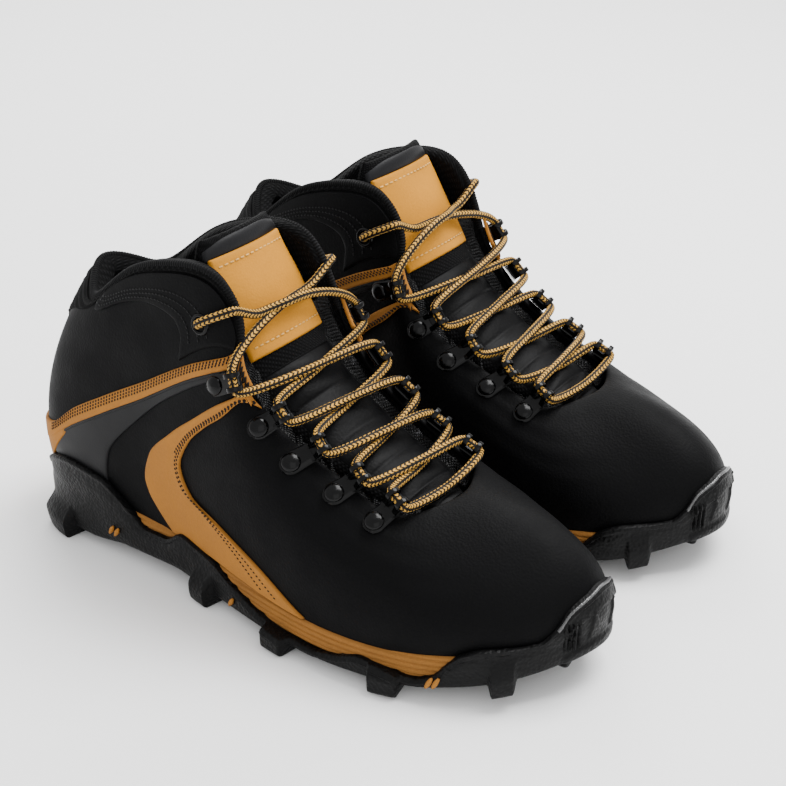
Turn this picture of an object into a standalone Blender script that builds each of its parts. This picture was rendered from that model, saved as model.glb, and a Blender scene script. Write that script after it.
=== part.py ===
"""A pair of mid-height hiking boots, each built from separate pieces.

Everything is drawn once in boot coordinates, in millimetres, and placed twice:
  s  distance from the back of the heel towards the toe
  m  distance from the boot's centre line, negative on the outer (lateral) side
  z  height above the ground
The world is in metres, +Z up, toes towards -Y.  The right boot stands at -X.

The upper is one smooth form with two parameters.  u runs once around the boot:
0 at the back of the heel, 13 at the toe, and back along the inner side to 26.
v runs from 0 at the feather line, where the upper meets the sole, to 1 at the
collar and throat edge.  Every panel is a patch of that form with a thickness.
"""
import bpy
import bmesh
import math
import numpy as np
from mathutils import Vector

MM = 0.001

# ---- driving dimensions, millimetres ------------------------------------
S_MIDDLE = 148.1          # s that lands on the world origin, the middle of the length
HALF_SPACING = 58.0       # centre line of each boot from X = 0
UPPER = 1.8               # leather thickness
GAP = 0.3                 # clearance between neighbouring pieces
TRIM = 1.0                # thickness of stripes and patches
TRIM_GAP = 0.45           # clearance under them
LINING_OUT = 5.2          # lining layer, measured inwards from the form
LINING_IN = 6.4
PAD_IN = 9.5              # inside of the padded collar
LOBE_IN = 4.0             # inside of its thin front edges, beside the tongue
STIFFENER_OUT = 3.1       # toe puff and heel counter
STIFFENER_IN = 4.1
COLLAR_GAP = 0.9          # between the leather and the padded collar
TREAD = 5.0               # lug depth
SOLE_PLATE = 2.6          # outsole thickness above the lugs
WALL_OUT = 4.4            # outsole side wall, outwards from the form
WALL_IN = 2.2
MIDSOLE_OUT = 1.5
BOARD = (2.0, 4.0)        # lasting board, heights above the feather line
SHANK = (0.4, 1.6)
FOOTBED = (4.3, 8.5)
FOOTBED_PLAY = 2.0       # from the footbed to the lining
SHANK_SPAN = (45.0, 165.0)
SHANK_HALF_WIDTH = 9.0
TOE_SPRING = 15.0
SPRING_START = 215.0
TOE_S = 303.0
LACE_R = 2.0
RING_HOLE = 2.8
RING_OUT = 3.9
RING_RISE = 4.8           # ring centre above the leather
LOOP_WIDTH = 5.6
RIVET_R = 4.3
EYELET_HOLE = 3.0
EYELET_FLANGE = 5.0
EYELET_UV = (5.08, 0.82)
RING_PASS = (-4.4, -3.1, 3.1, 4.2)       # lace points through a ring, along its axis
LACE_LEVELS = (3.0, 7.6)                 # the two cords of a crossing, above the tongue
PATCH_LIFT = 1.6
LAST_CROSSING = 141.0
LACE_OVER_COLLAR = [(6.35, 0.99, 6.2), (5.75, 0.91, 5.0)]
LACE_STEP = 12.0
LINING_START = 0.09      # v where the lining and stiffeners begin
END_DENSITY = 0.4         # how much finer the steps are at the heel and the toe

# ---- the form -------------------------------------------------------------
# One station per row, heel to toe along the outer side: (s, half width, z) of
# the feather line, the two handles of the side curve, and the top edge.
OUTER = [
    ((-1, 0, 28), (-12, 0, 62), (7, 0, 104), (29, 0, 134)),
    ((6, 21, 28), (-4, 26, 62), (15, 20, 104), (36, 15, 129)),
    ((25, 34, 28), (20, 40, 60), (34, 29, 104), (48, 25, 127)),
    ((54, 37, 28), (52, 43, 60), (61, 31, 114), (72, 29, 145)),
    ((82, 38, 26), (82, 42, 58), (87, 34, 120), (98, 31, 156)),
    ((108, 40, 24), (108, 45, 56), (112, 38, 122), (125, 31, 157)),
    ((133, 45, 22), (134, 50, 54), (130, 43, 114), (139, 31, 139)),
    ((157, 50, 20), (158, 54, 52), (145, 45, 98), (142, 34, 120)),
    ((182, 54, 19), (184, 58, 50), (166, 44, 86), (156, 33, 98)),
    ((208, 55, 19), (210, 58, 46), (186, 43, 75), (176, 31, 85)),
    ((236, 51, 20), (238, 56, 42), (208, 42, 64), (196, 30, 76)),
    ((262, 41, 23), (266, 46, 42), (228, 37, 60), (214, 28, 69)),
    ((284, 24, 26), (289, 28, 50), (246, 20, 65), (225, 15, 69.5)),
    ((297, -3, 28), (303, -3, 57), (258, -2, 74), (229, 0, 70)),
]
# Half widths of the same four curves on the inner side, heel to toe.
INNER_WIDTHS = [
    (21, 26, 20, 15), (34, 40, 29, 25), (36, 40, 31, 29), (35, 38, 34, 31),
    (36, 40, 38, 31), (39, 44, 42, 31), (42, 48, 45, 34), (46, 50, 44, 33),
    (49, 52, 43, 31), (49, 51, 41, 30), (42, 44, 35, 28), (25, 28, 19, 15),
]
TOE_U = len(OUTER) - 1
AROUND = 2 * TOE_U

# ---- outlines on the form, outer side: (u, v) ------------------------------
STRIPE_LOW = [(0, 0.10), (1, 0.13), (1.6, 0.19), (2.4, 0.33), (3, 0.405), (4.1, 0.525),
              (5.3, 0.665), (5.9, 0.76), (6.25, 0.83)]
STRIPE_HIGH = [(0, 0.22), (1, 0.24), (1.75, 0.29), (2.4, 0.41), (3, 0.475), (4.1, 0.582),
               (5.3, 0.715), (5.9, 0.815), (6.25, 0.90)]
STRIPE_END = STRIPE_LOW[-1][0]
SWOOSH_BACK = [(4.57, 0.012), (4.25, 0.10), (4.06, 0.16), (3.98, 0.22), (4.1, 0.32),
               (4.65, 0.43), (5.2, 0.515), (5.8, 0.62), (6.6, 0.77), (7.3, 0.93)]
SWOOSH_FRONT = [(8.1, 0.012), (7.0, 0.145), (6.0, 0.198), (5.25, 0.226), (4.87, 0.33),
                (5.07, 0.42), (5.5, 0.51), (6.05, 0.61), (6.9, 0.80), (7.65, 0.955)]
# Where the quarter meets the vamp, hidden under the swoosh: v -> u.
SEAM = [(0, 6.3), (0.07, 5.95), (0.13, 5.4), (0.22, 4.6), (0.3, 4.45), (0.4, 4.72),
        (0.56, 5.62), (0.68, 6.2), (0.81, 6.88), (0.94, 7.45), (1, 7.7)]
# Top edge of the rubber side wall: u -> z, and one point past the toe to level it there.
WALL_TOP = [(0, 9), (0.5, 11), (0.9, 19), (1.3, 32), (1.8, 41), (2.3, 44), (3, 41), (3.3, 35),
            (3.6, 28), (3.95, 22), (4.4, 22), (4.86, 28), (5.2, 26), (5.7, 23), (6.3, 17),
            (7.3, 10.5), (8.3, 8.6), (8.8, 10.5), (9.25, 14), (9.7, 12.5), (10.1, 10.5), (10.4, 13),
            (10.6, 19), (10.85, 25), (11.2, 28), (11.95, 29), (12.2, 34), (12.45, 41), (12.75, 44.5),
            (13, 46), (13.25, 44.5)]
# Lace loops, toe end last: rivet (u, v) and the ring's centre (s, half width, z).
LOOPS = [((5.83, 0.70), (145.0, 33.6, 115.5)), ((7.54, 0.82), (159, 30.5, 101)),
         ((8.32, 0.80), (177.5, 29, 90)), ((9.36, 0.826), (197, 27.7, 81)),
         ((10.3, 0.83), (215, 26.5, 74))]

# ---- tongue: outer surface along the middle, base to top -------------------
TONGUE_LINE = [(232, 61), (222, 66), (213, 70), (196, 78), (178, 87.5), (160, 100),
               (147, 113), (138, 127), (129, 143), (121, 157), (117, 168)]
TONGUE_HALF = [8, 11, 20, 23, 24, 25, 26, 26.5, 26, 25, 21]
TONGUE_THICK = [3.0, 3.5, 4.0, 4.5, 5.0, 6.0, 7.0, 8.0, 9.0, 9.0, 5.0]
TONGUE_ARCH = [0.5, 1.5, 4, 6, 7, 7.5, 7.5, 7, 6.5, 6, 5]
TONGUE_PIVOT = (229.0, 62.5)     # s, z
FOOTBED_PIVOT = (287.0, 31.0)
PATCH_SPAN = (6.5, 9.2)        # along the tongue, in points of TONGUE_LINE

# ---- tread: (s, length) of the lugs that stand out, the set back ones, and the centre ones --
SIDE_LUGS = [(21, 20), (120, 13), (171, 14), (227, 14), (272, 10)]
SET_BACK_LUGS = [(50, 16), (75, 14), (98, 13), (146, 16), (199, 15), (250, 13)]
CENTRE_LUGS = [(16, 16), (46, 18), (76, 14), (106, 14), (136, 16), (166, 18), (196, 18),
               (226, 17), (254, 15), (281, 14)]
CENTRE_LUG_HALF = 13.0
LUG_INNER = 13.0                 # side lug, inwards from the form
LUG_OUTER = {"lateral": 8.0, "medial": 4.8}
SET_BACK = {"lateral": -4.0, "medial": -4.0}

# ---- colours: base colour, roughness, metallic ------------------------------
FINISHES = {
    "black_nubuck": ((0.020, 0.020, 0.022, 1), 0.75, 0.0),
    "black_mesh": ((0.016, 0.016, 0.017, 1), 0.85, 0.0),
    "tan_leather": ((0.56, 0.30, 0.09, 1), 0.55, 0.0),
    "tan_foam": ((0.50, 0.27, 0.08, 1), 0.65, 0.0),
    "black_rubber": ((0.025, 0.025, 0.027, 1), 0.60, 0.0),
    "black_metal": ((0.03, 0.03, 0.032, 1), 0.30, 0.8),
    "spring_steel": ((0.60, 0.60, 0.62, 1), 0.35, 1.0),
    "fibre_board": ((0.45, 0.38, 0.28, 1), 0.80, 0.0),
    "stiffener": ((0.30, 0.30, 0.28, 1), 0.70, 0.0),
    "footbed_foam": ((0.05, 0.05, 0.055, 1), 0.85, 0.0),
    "lace_cord": ((0.50, 0.31, 0.08, 1), 0.80, 0.0),
}


# ---- curves -----------------------------------------------------------------
def smooth(points):
    """A smooth function through (x, y) points that never overshoots them."""
    x, y = np.array(points, float).T
    step = np.diff(x)
    rise = np.diff(y) / step
    slope = np.zeros(len(x))
    slope[0], slope[-1] = rise[0], rise[-1]
    same = rise[:-1] * rise[1:] > 0
    slope[1:-1][same] = 2 * rise[:-1][same] * rise[1:][same] / (rise[:-1] + rise[1:])[same]

    def value(at):
        at = np.clip(np.asarray(at, float), x[0], x[-1])
        i = np.clip(np.searchsorted(x, at, side="right") - 1, 0, len(x) - 2)
        t = (at - x[i]) / step[i]
        start = (1 + 2 * t) * (1 - t) ** 2 * y[i] + t * (1 - t) ** 2 * step[i] * slope[i]
        return start + t * t * (3 - 2 * t) * y[i + 1] + t * t * (t - 1) * step[i] * slope[i + 1]

    return value


def path(points):
    """A curve through points of any dimension, as a function of the point number."""
    columns = [smooth(list(enumerate(column))) for column in np.array(points, float).T]
    return lambda at: np.stack([column(at) for column in columns], -1)


def round_path(points):
    """A Catmull-Rom curve through points, as a function of the point number."""
    p = np.array(points, float)
    last = len(p) - 1

    def value(at):
        at = np.asarray(at, float)
        i = np.clip(np.floor(at).astype(int), 0, last - 1)
        t = (at - i)[..., None]
        a, b, c, d = p[np.maximum(i - 1, 0)], p[i], p[i + 1], p[np.minimum(i + 2, last)]
        even = 2 * b + (c - a) * t + (2 * a - 5 * b + 4 * c - d) * t ** 2
        return 0.5 * (even + (3 * b - a - 3 * c + d) * t ** 3)

    return value


def round_loop(points):
    """A closed cubic spline through points, as a function of the point number."""
    p = np.array(points, float)
    n = len(p)
    turn = 6 * (np.roll(p, -1, 0) - 2 * p + np.roll(p, 1, 0))
    ring = 4 * np.eye(n) + np.roll(np.eye(n), 1, 0) + np.roll(np.eye(n), -1, 0)
    bend = np.linalg.solve(ring, turn)

    def value(at):
        at = np.asarray(at, float)
        i = np.floor(at).astype(int)
        t = (at - i)[..., None]
        i, j = i % n, (i + 1) % n
        flat = p[i] * (1 - t) + p[j] * t
        return flat + ((1 - t) ** 3 - (1 - t)) * bend[i] / 6 + (t ** 3 - t) * bend[j] / 6

    return value


def form_rails():
    """The four curves around the boot, from the station rows."""
    rails = []
    for r in range(4):
        outer = [(row[r][0], -row[r][1], row[r][2]) for row in OUTER]
        widths = [row[r] for row in INNER_WIDTHS]
        inner = [(s, width, z) for (s, m, z), width in zip(outer[1:], widths)]
        rails.append(round_loop(outer + inner[::-1]))
    return rails


RAILS = form_rails()


def form(u, v):
    """Point of the upper's outer surface."""
    u, v = np.broadcast_arrays(np.asarray(u, float), np.asarray(v, float))
    t = v[..., None]
    a, b, c, d = [rail(u) for rail in RAILS]
    return a * (1 - t) ** 3 + 3 * b * t * (1 - t) ** 2 + 3 * c * t * t * (1 - t) + d * t ** 3


def form_normal(u, v):
    """Outward normal of the form."""
    h = 0.02
    v = np.clip(np.asarray(v, float), h, 1 - h)
    along = form(u + h, v) - form(u - h, v)
    up = form(u, v + h) - form(u, v - h)
    normal = np.cross(along, up)
    return normal / np.linalg.norm(normal, axis=-1, keepdims=True)


def skin(u, v, out):
    """Point at a distance outwards from the form; out may vary over the grid."""
    u, v, out = np.broadcast_arrays(np.asarray(u, float), np.asarray(v, float), out)
    return form(u, v) + form_normal(u, v) * out[..., None]


def plan_normal(u):
    """Outward normal of the feather line, in plan."""
    along = RAILS[0](u + 0.05) - RAILS[0](u - 0.05)
    normal = np.stack([along[..., 1], -along[..., 0], np.zeros_like(along[..., 0])], -1)
    return normal / np.linalg.norm(normal, axis=-1, keepdims=True)


def level(u, z):
    """v at which the form reaches height z, found by halving."""
    low = np.zeros_like(u)
    high = np.full_like(u, 0.6)
    for _ in range(24):
        middle = (low + high) / 2
        below = form(u, middle)[..., 2] < z
        low = np.where(below, middle, low)
        high = np.where(below, high, middle)
    return low


def side_ring(u, z, out):
    """Ring around the boot at height z: down the sole's side, or up the form's."""
    feather = RAILS[0](u)
    z = np.broadcast_to(z, u.shape)
    above = z > feather[:, 2]
    base = np.where(above[:, None], form(u, level(u, z)), feather)
    ring = base + plan_normal(u) * out
    ring[:, 2] = z
    return ring


# ---- solids -----------------------------------------------------------------
def quad_faces(rows, columns, index, flip=False):
    """Quads of a grid whose vertex number is index(row, column)."""
    faces = []
    for i in range(rows):
        for j in range(columns):
            quad = (index(i, j), index(i + 1, j), index(i + 1, j + 1), index(i, j + 1))
            faces.append(quad[::-1] if flip else quad)
    return faces


def slab(outer, inner, around=False):
    """Closed solid between two matching grids of points."""
    rows, columns = outer.shape[:2]
    count = rows * columns
    last = rows if around else rows - 1

    def out(i, j):
        return (i % rows) * columns + j

    def back(i, j):
        return count + out(i, j)

    faces = quad_faces(last, columns - 1, out) + quad_faces(last, columns - 1, back, flip=True)
    end = columns - 1
    for i in range(last):
        faces.append((out(i + 1, 0), out(i, 0), back(i, 0), back(i + 1, 0)))
        faces.append((out(i, end), out(i + 1, end), back(i + 1, end), back(i, end)))
    if not around:
        for j in range(columns - 1):
            faces.append((out(0, j), out(0, j + 1), back(0, j + 1), back(0, j)))
            faces.append((out(last, j + 1), out(last, j), back(last, j), back(last, j + 1)))
    return np.concatenate([outer.reshape(-1, 3), inner.reshape(-1, 3)]), faces


def stack(rings):
    """Closed solid through rings that start at the heel; the ends are bridged side to side."""
    n = len(rings[0])
    half = n // 2
    faces = []
    for k in range(len(rings) - 1):
        for i in range(n):
            j = (i + 1) % n
            faces.append((k * n + i, k * n + j, (k + 1) * n + j, (k + 1) * n + i))
    for start, flip in ((0, True), ((len(rings) - 1) * n, False)):
        cap = [(start, start + 1, start + n - 1)]
        cap += [(start + i, start + i + 1, start + n - i - 1, start + n - i) for i in range(1, half - 1)]
        cap.append((start + half - 1, start + half, start + half + 1))
        faces += [face[::-1] if flip else face for face in cap]
    return np.concatenate(rings), faces


def tube(centres, radius, sides):
    """Closed round tube along a path."""
    ahead = np.gradient(centres, axis=0)
    ahead /= np.linalg.norm(ahead, axis=1, keepdims=True)
    across = np.cross(ahead, (0, 0, 1.0))
    across /= np.linalg.norm(across, axis=1, keepdims=True)
    lift = np.cross(across, ahead)
    turns = np.linspace(0, 2 * math.pi, sides, endpoint=False)
    ring = np.cos(turns)[None, :, None] * across[:, None] + np.sin(turns)[None, :, None] * lift[:, None]
    points = centres[:, None] + radius * ring
    count = len(centres)
    faces = []
    for i in range(count - 1):
        for j in range(sides):
            k = (j + 1) % sides
            faces.append((i * sides + j, i * sides + k, (i + 1) * sides + k, (i + 1) * sides + j))
    faces.append(tuple(range(sides))[::-1])
    faces.append(tuple((count - 1) * sides + j for j in range(sides)))
    return points.reshape(-1, 3), faces


# ---- scene helpers ------------------------------------------------------------
def clear_scene():
    for thing in list(bpy.data.objects):
        bpy.data.objects.remove(thing, do_unlink=True)


def material(name):
    found = bpy.data.materials.get(name)
    if found:
        return found
    colour, roughness, metallic = FINISHES[name]
    made = bpy.data.materials.new(name)
    made.use_nodes = True
    shader = made.node_tree.nodes["Principled BSDF"]
    shader.inputs["Base Color"].default_value = colour
    shader.inputs["Roughness"].default_value = roughness
    shader.inputs["Metallic"].default_value = metallic
    made.diffuse_color = colour
    return made


class Boot:
    """Places boot coordinates in the world, for the right or the left boot."""

    def __init__(self, name, sign):
        self.name = name
        self.sign = sign

    def world(self, points):
        points = np.asarray(points, float)
        x = self.sign * (points[..., 1] - HALF_SPACING)
        return np.stack([x, S_MIDDLE - points[..., 0], points[..., 2]], -1) * MM

    def add(self, name, solid, finish, pivot=None, hidden=False):
        """One object; a moving piece has its origin on its pivot (s, z)."""
        points, faces = solid
        places = self.world(points)
        origin = np.zeros(3)
        if pivot:
            origin = self.world((pivot[0], 0.0, pivot[1]))
        mesh = bpy.data.meshes.new(self.name + "_" + name)
        mesh.from_pydata((places - origin).tolist(), [], faces)
        work = bmesh.new()
        work.from_mesh(mesh)
        bmesh.ops.recalc_face_normals(work, faces=work.faces)
        work.to_mesh(mesh)
        work.free()
        mesh.polygons.foreach_set("use_smooth", [True] * len(mesh.polygons))
        thing = bpy.data.objects.new(self.name + "_" + name, mesh)
        thing.location = origin
        bpy.context.collection.objects.link(thing)
        if hidden:
            thing.hide_render = True
            thing.display_type = "WIRE"
        else:
            mesh.materials.append(material(finish))
        return thing


def combine(target, tool, operation):
    """Join or cut with an exact Boolean that stays on the object."""
    step = target.modifiers.new(operation.lower(), "BOOLEAN")
    step.operation = operation
    step.solver = "EXACT"
    step.object = tool


# ---- sole unit ------------------------------------------------------------------
def base_height(s):
    """Underside of the outsole plate: flat, then rising in the toe spring."""
    rise = np.clip((s - SPRING_START) / (TOE_S - SPRING_START), 0, None)
    return TREAD + TOE_SPRING * rise ** 2


def ring_u(count):
    """Steps around the boot, finer at the heel and the toe."""
    t = np.linspace(0, 1, count, endpoint=False)
    return AROUND * (t - END_DENSITY * np.sin(4 * math.pi * t) / (4 * math.pi))


def feather_ring(u, inset, lift):
    """Ring inside the feather line, lifted above it."""
    ring = RAILS[0](u) - plan_normal(u) * inset
    ring[:, 2] = RAILS[0](u)[:, 2] + lift
    return ring


def wall_top(u):
    return smooth(WALL_TOP)(np.where(u > TOE_U, AROUND - u, u))


def outsole(boot):
    u = ring_u(70)
    s = RAILS[0](u)[:, 0]
    low = base_height(s)
    plate_top = low + SOLE_PLATE
    top = np.maximum(wall_top(u), plate_top + 0.8)
    rings = [
        side_ring(u, low, MIDSOLE_OUT),
        side_ring(u, (low + top) / 2, WALL_OUT),
        side_ring(u, top, WALL_OUT - 0.5),
        side_ring(u, top, WALL_IN),
        side_ring(u, (plate_top + top) / 2, WALL_IN),
        side_ring(u, plate_top, WALL_IN),
    ]
    thing = boot.add("outsole", stack(rings), "black_rubber")
    tread = boot.add("tread_tool", tread_blocks(), None, hidden=True)
    combine(thing, tread, "UNION")


def block(centre, along, out, half_length, inner, outer):
    """Tapered lug: longer at its root, which follows the plate, than at the ground."""
    corners = []
    for rooted, taper, push in ((False, 0.84, 0.0), (True, 1.0, -1.5)):
        for side, reach in ((-1, -inner), (1, -inner), (1, outer + push), (-1, outer + push)):
            corner = centre + along * side * half_length * taper + out * reach
            ground = base_height(centre[0]) - TREAD
            root = base_height(corner[0]) + 0.4 * SOLE_PLATE
            corners.append((corner[0], corner[1], root if rooted else ground))
    faces = [(3, 2, 1, 0), (4, 5, 6, 7), (0, 1, 5, 4), (1, 2, 6, 5), (2, 3, 7, 6), (3, 0, 4, 7)]
    return np.array(corners), faces


def u_at(s, inner_side):
    """u where the feather line reaches s, on one side of the boot."""
    options = np.linspace(0.02, TOE_U - 0.02, 400)
    best = options[np.argmin(abs(RAILS[0](options)[:, 0] - s))]
    return AROUND - best if inner_side else best


def tread_blocks():
    """All lugs of one boot, as separate closed blocks in one tool mesh."""
    parts = []
    side_lugs = [(lug, LUG_OUTER) for lug in SIDE_LUGS] + [(lug, SET_BACK) for lug in SET_BACK_LUGS]
    for (s, length), reach in side_lugs:
        for side in ("lateral", "medial"):
            u = np.array([u_at(s, side == "medial")])
            out = plan_normal(u)[0]
            along = np.array([out[1], -out[0], 0.0])
            parts.append(block(RAILS[0](u)[0], along, out, length / 2, LUG_INNER, reach[side]))
    for s, length in CENTRE_LUGS:
        half = min(CENTRE_LUG_HALF, 0.55 * abs(RAILS[0](np.array([u_at(s, False)]))[0, 1]) - 2.0)
        centre = np.array([s, 0.0, 0.0])
        along, out = np.eye(3)[:2]
        parts.append(block(centre, along, out, length / 2, half, half))
    points, faces = [], []
    for corners, quads in parts:
        start = 8 * len(points)
        points.append(corners)
        faces += [tuple(start + i for i in quad) for quad in quads]
    return np.concatenate(points), faces


def midsole(boot):
    u = ring_u(70)
    feather = RAILS[0](u)
    low = base_height(feather[:, 0]) + SOLE_PLATE + 2 * GAP
    top = feather[:, 2] - GAP
    rings = [
        side_ring(u, low, MIDSOLE_OUT - 1.0),
        side_ring(u, (low + top) / 2, MIDSOLE_OUT),
        side_ring(u, top, MIDSOLE_OUT - 0.6),
    ]
    boot.add("midsole", stack(rings), "tan_foam")


def shank(boot):
    s = np.linspace(*SHANK_SPAN, 7)
    height = smooth([(row[0][0], row[0][2]) for row in OUTER])(s)
    m = np.array([-SHANK_HALF_WIDTH, SHANK_HALF_WIDTH])
    grid = np.stack(np.meshgrid(s, m, indexing="ij"), -1)
    height = np.broadcast_to(height[:, None, None], grid.shape[:2] + (1,))
    upper = np.concatenate([grid, height + SHANK[1]], -1)
    lower = np.concatenate([grid, height + SHANK[0]], -1)
    boot.add("shank", slab(upper, lower), "spring_steel")


def lasting_board(boot):
    u = ring_u(40)
    rings = [feather_ring(u, UPPER + 1.2, BOARD[0]), feather_ring(u, UPPER + 1.0, BOARD[1])]
    boot.add("lasting_board", stack(rings), "fibre_board")


def footbed(boot):
    """Removable insole with a raised heel rim; it tips up about its toe end."""
    u = ring_u(40)
    s = RAILS[0](u)[:, 0]
    rim = smooth([(-1, 7.0), (60, 6.0), (120, 4.0), (170, 0.8), (300, 0.3)])(s)
    inset = LINING_IN + FOOTBED_PLAY
    rings = [
        feather_ring(u, inset + 1.5, FOOTBED[0]),
        feather_ring(u, inset, FOOTBED[0] + 1.0),
        feather_ring(u, inset, FOOTBED[1] + rim * 0.5),
        feather_ring(u, inset + 2.0, FOOTBED[1] + rim),
        feather_ring(u, inset + 7.0, FOOTBED[1]),
    ]
    boot.add("footbed", stack(rings), "footbed_foam", pivot=FOOTBED_PIVOT)


# ---- upper --------------------------------------------------------------------
def mirrored(u, side):
    return u if side == "lateral" else AROUND - u


def panel(u, v, outer, inner):
    """Patch of the form between two depths; u and v are matching grids."""
    return slab(skin(u, v, outer), skin(u, v, inner))


def quarter(boot, side):
    v = np.linspace(0, 1, 11)
    end = smooth(SEAM)(v) - 0.012
    t = np.linspace(0, 1, 13)[:, None] ** 1.25
    u = 0.014 + (end - 0.014)[None, :] * t
    v = np.broadcast_to(v, u.shape)
    thing = boot.add("quarter_" + side, panel(mirrored(u, side), v, 0.0, -UPPER), "black_nubuck")
    combine(thing, boot.eyelet_tools[side], "DIFFERENCE")


def vamp(boot):
    v = np.linspace(0, 1, 11)
    start = smooth(SEAM)(v) + 0.012
    t = np.linspace(0, 1, 23)[:, None]
    t = t + END_DENSITY * np.sin(2 * math.pi * t) / (2 * math.pi)
    u = start + (AROUND - 2 * start)[None, :] * t
    v = np.broadcast_to(v, u.shape)
    boot.add("vamp", panel(u, v, 0.0, -UPPER), "black_nubuck")


def ribbon(back, front, along, across):
    """(u, v) grid of a strip between two outlines."""
    t = np.linspace(0, 1, across)[None, :, None]
    at = np.linspace(0, len(back) - 1, along)
    grid = path(back)(at)[:, None] * (1 - t) + path(front)(at)[:, None] * t
    return grid[..., 0], grid[..., 1]


def stripe(boot, side):
    """Tan band from the back of the heel up to the throat."""
    u = np.linspace(0.03, STRIPE_END, 18)
    low, high = smooth(STRIPE_LOW)(u), smooth(STRIPE_HIGH)(u)
    t = np.linspace(0, 1, 2)[None, :]
    v = low[:, None] * (1 - t) + high[:, None] * t
    u = np.broadcast_to(u[:, None], v.shape)
    boot.add("stripe_" + side, panel(mirrored(u, side), v, TRIM_GAP + TRIM, TRIM_GAP), "tan_leather")


def swoosh(boot, side):
    """Tan band that sweeps from the throat to the waist and on to the feather line."""
    u, v = ribbon(SWOOSH_BACK, SWOOSH_FRONT, 19, 4)
    boot.add("swoosh_" + side, panel(mirrored(u, side), v, TRIM_GAP + TRIM, TRIM_GAP), "tan_leather")


def toe_puff(boot):
    v = np.linspace(LINING_START, 0.52, 5)
    reach = smooth([(LINING_START, 2.6), (0.3, 2.3), (0.52, 1.6)])(v)
    u = TOE_U + reach[None, :] * np.linspace(-1, 1, 13)[:, None]
    v = np.broadcast_to(v, u.shape)
    boot.add("toe_puff", panel(u, v, -STIFFENER_OUT, -STIFFENER_IN), "stiffener")


def heel_counter(boot):
    v = np.linspace(LINING_START, 0.46, 5)
    reach = smooth([(LINING_START, 3.6), (0.25, 3.2), (0.46, 1.8)])(v)
    u = reach[None, :] * np.linspace(-1, 1, 15)[:, None]
    v = np.broadcast_to(v, u.shape)
    boot.add("heel_counter", panel(u, v, -STIFFENER_OUT, -STIFFENER_IN), "stiffener")


def collar_lining(boot):
    """One sock-like lining that thickens into the padded collar around the ankle."""
    u = ring_u(40)[:, None]
    v = np.array([LINING_START, 0.20, 0.36, 0.50, 0.61, 0.74, 0.88, 0.985])[None, :]
    from_heel = np.minimum(u, AROUND - u)
    rear = smooth([(0, 1), (3.3, 1), (4.6, 0.05), (7, 0), (TOE_U, 0)])(from_heel)
    padded = rear * smooth([(0, 0), (0.5, 0), (0.7, 1), (0.94, 1), (1, 0.25)])(v)
    joined = smooth([(0, 1), (7.0, 1), (8.5, 0), (TOE_U, 0)])(from_heel)
    joined = joined * smooth([(0, 0), (0.5, 0), (0.6, 1), (1, 1)])(v)
    outer = -LINING_OUT + (LINING_OUT - UPPER - COLLAR_GAP) * joined
    inner = -LINING_IN - (PAD_IN - LINING_IN) * padded + (LINING_IN - LOBE_IN) * joined * (1 - rear)
    inner = np.minimum(inner, outer - 1.0)
    thing = boot.add("collar_lining", slab(skin(u, v, outer), skin(u, v, inner), around=True), "black_mesh")
    for tool in boot.eyelet_tools.values():
        combine(thing, tool, "DIFFERENCE")


# ---- tongue ---------------------------------------------------------------------
def tongue_frame(at):
    """Middle of the tongue's outer surface, and its outward direction, in (s, z)."""
    line = round_path(TONGUE_LINE)
    at = np.asarray(at, float)
    ahead = line(np.minimum(at + 0.05, len(TONGUE_LINE) - 1)) - line(np.maximum(at - 0.05, 0))
    ahead /= np.linalg.norm(ahead, axis=-1, keepdims=True)
    return line(at), np.stack([ahead[..., 1], -ahead[..., 0]], -1)


def tongue_point(at, b, out):
    """Point of the tongue: at along it, b = -1..1 across it, out from its face."""
    at, b, out = np.broadcast_arrays(np.asarray(at, float), np.asarray(b, float), out)
    numbers = range(len(TONGUE_LINE))
    half = smooth(list(zip(numbers, TONGUE_HALF)))(at)
    arch = smooth(list(zip(numbers, TONGUE_ARCH)))(at)
    middle, outward = tongue_frame(at)
    depth = out - arch * b * b
    s, z = np.moveaxis(middle + outward * depth[..., None], -1, 0)
    return np.stack([s, half * b, z], -1)


def tongue(boot):
    last = len(TONGUE_LINE) - 1
    at = np.linspace(0, last, 18)[:, None]
    b = np.linspace(-1, 1, 7)[None, :]
    thick = smooth(list(zip(range(last + 1), TONGUE_THICK)))(at) * (1 - 0.55 * b ** 6)
    rounding = 0.9 * b ** 8
    solid = slab(tongue_point(at, b, -rounding), tongue_point(at, b, -thick))
    boot.add("tongue", solid, "black_mesh", pivot=TONGUE_PIVOT)


def tongue_patch(boot):
    at = np.linspace(*PATCH_SPAN, 6)[:, None]
    b = np.linspace(-0.92, 0.92, 7)[None, :]
    solid = slab(tongue_point(at, b, TRIM_GAP + TRIM), tongue_point(at, b, TRIM_GAP))
    boot.add("tongue_patch", solid, "tan_leather", pivot=TONGUE_PIVOT)


# ---- lacing -----------------------------------------------------------------------
def loop_frame(number, side):
    """Origin on the leather and axes of a lace loop: towards the ring, through it, outwards."""
    (u, v), (s, m, z) = LOOPS[number]
    u = mirrored(np.array([u]), side)
    v = np.array([v])
    foot = skin(u, v, GAP)[0]
    up = form_normal(u, v)[0]
    ring = np.array([s, -m if side == "lateral" else m, z])
    reach = ring - foot
    reach -= up * reach.dot(up)
    length = np.linalg.norm(reach)
    ahead = reach / length
    through = np.cross(up, ahead)
    return foot, ahead, through, up, length


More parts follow.
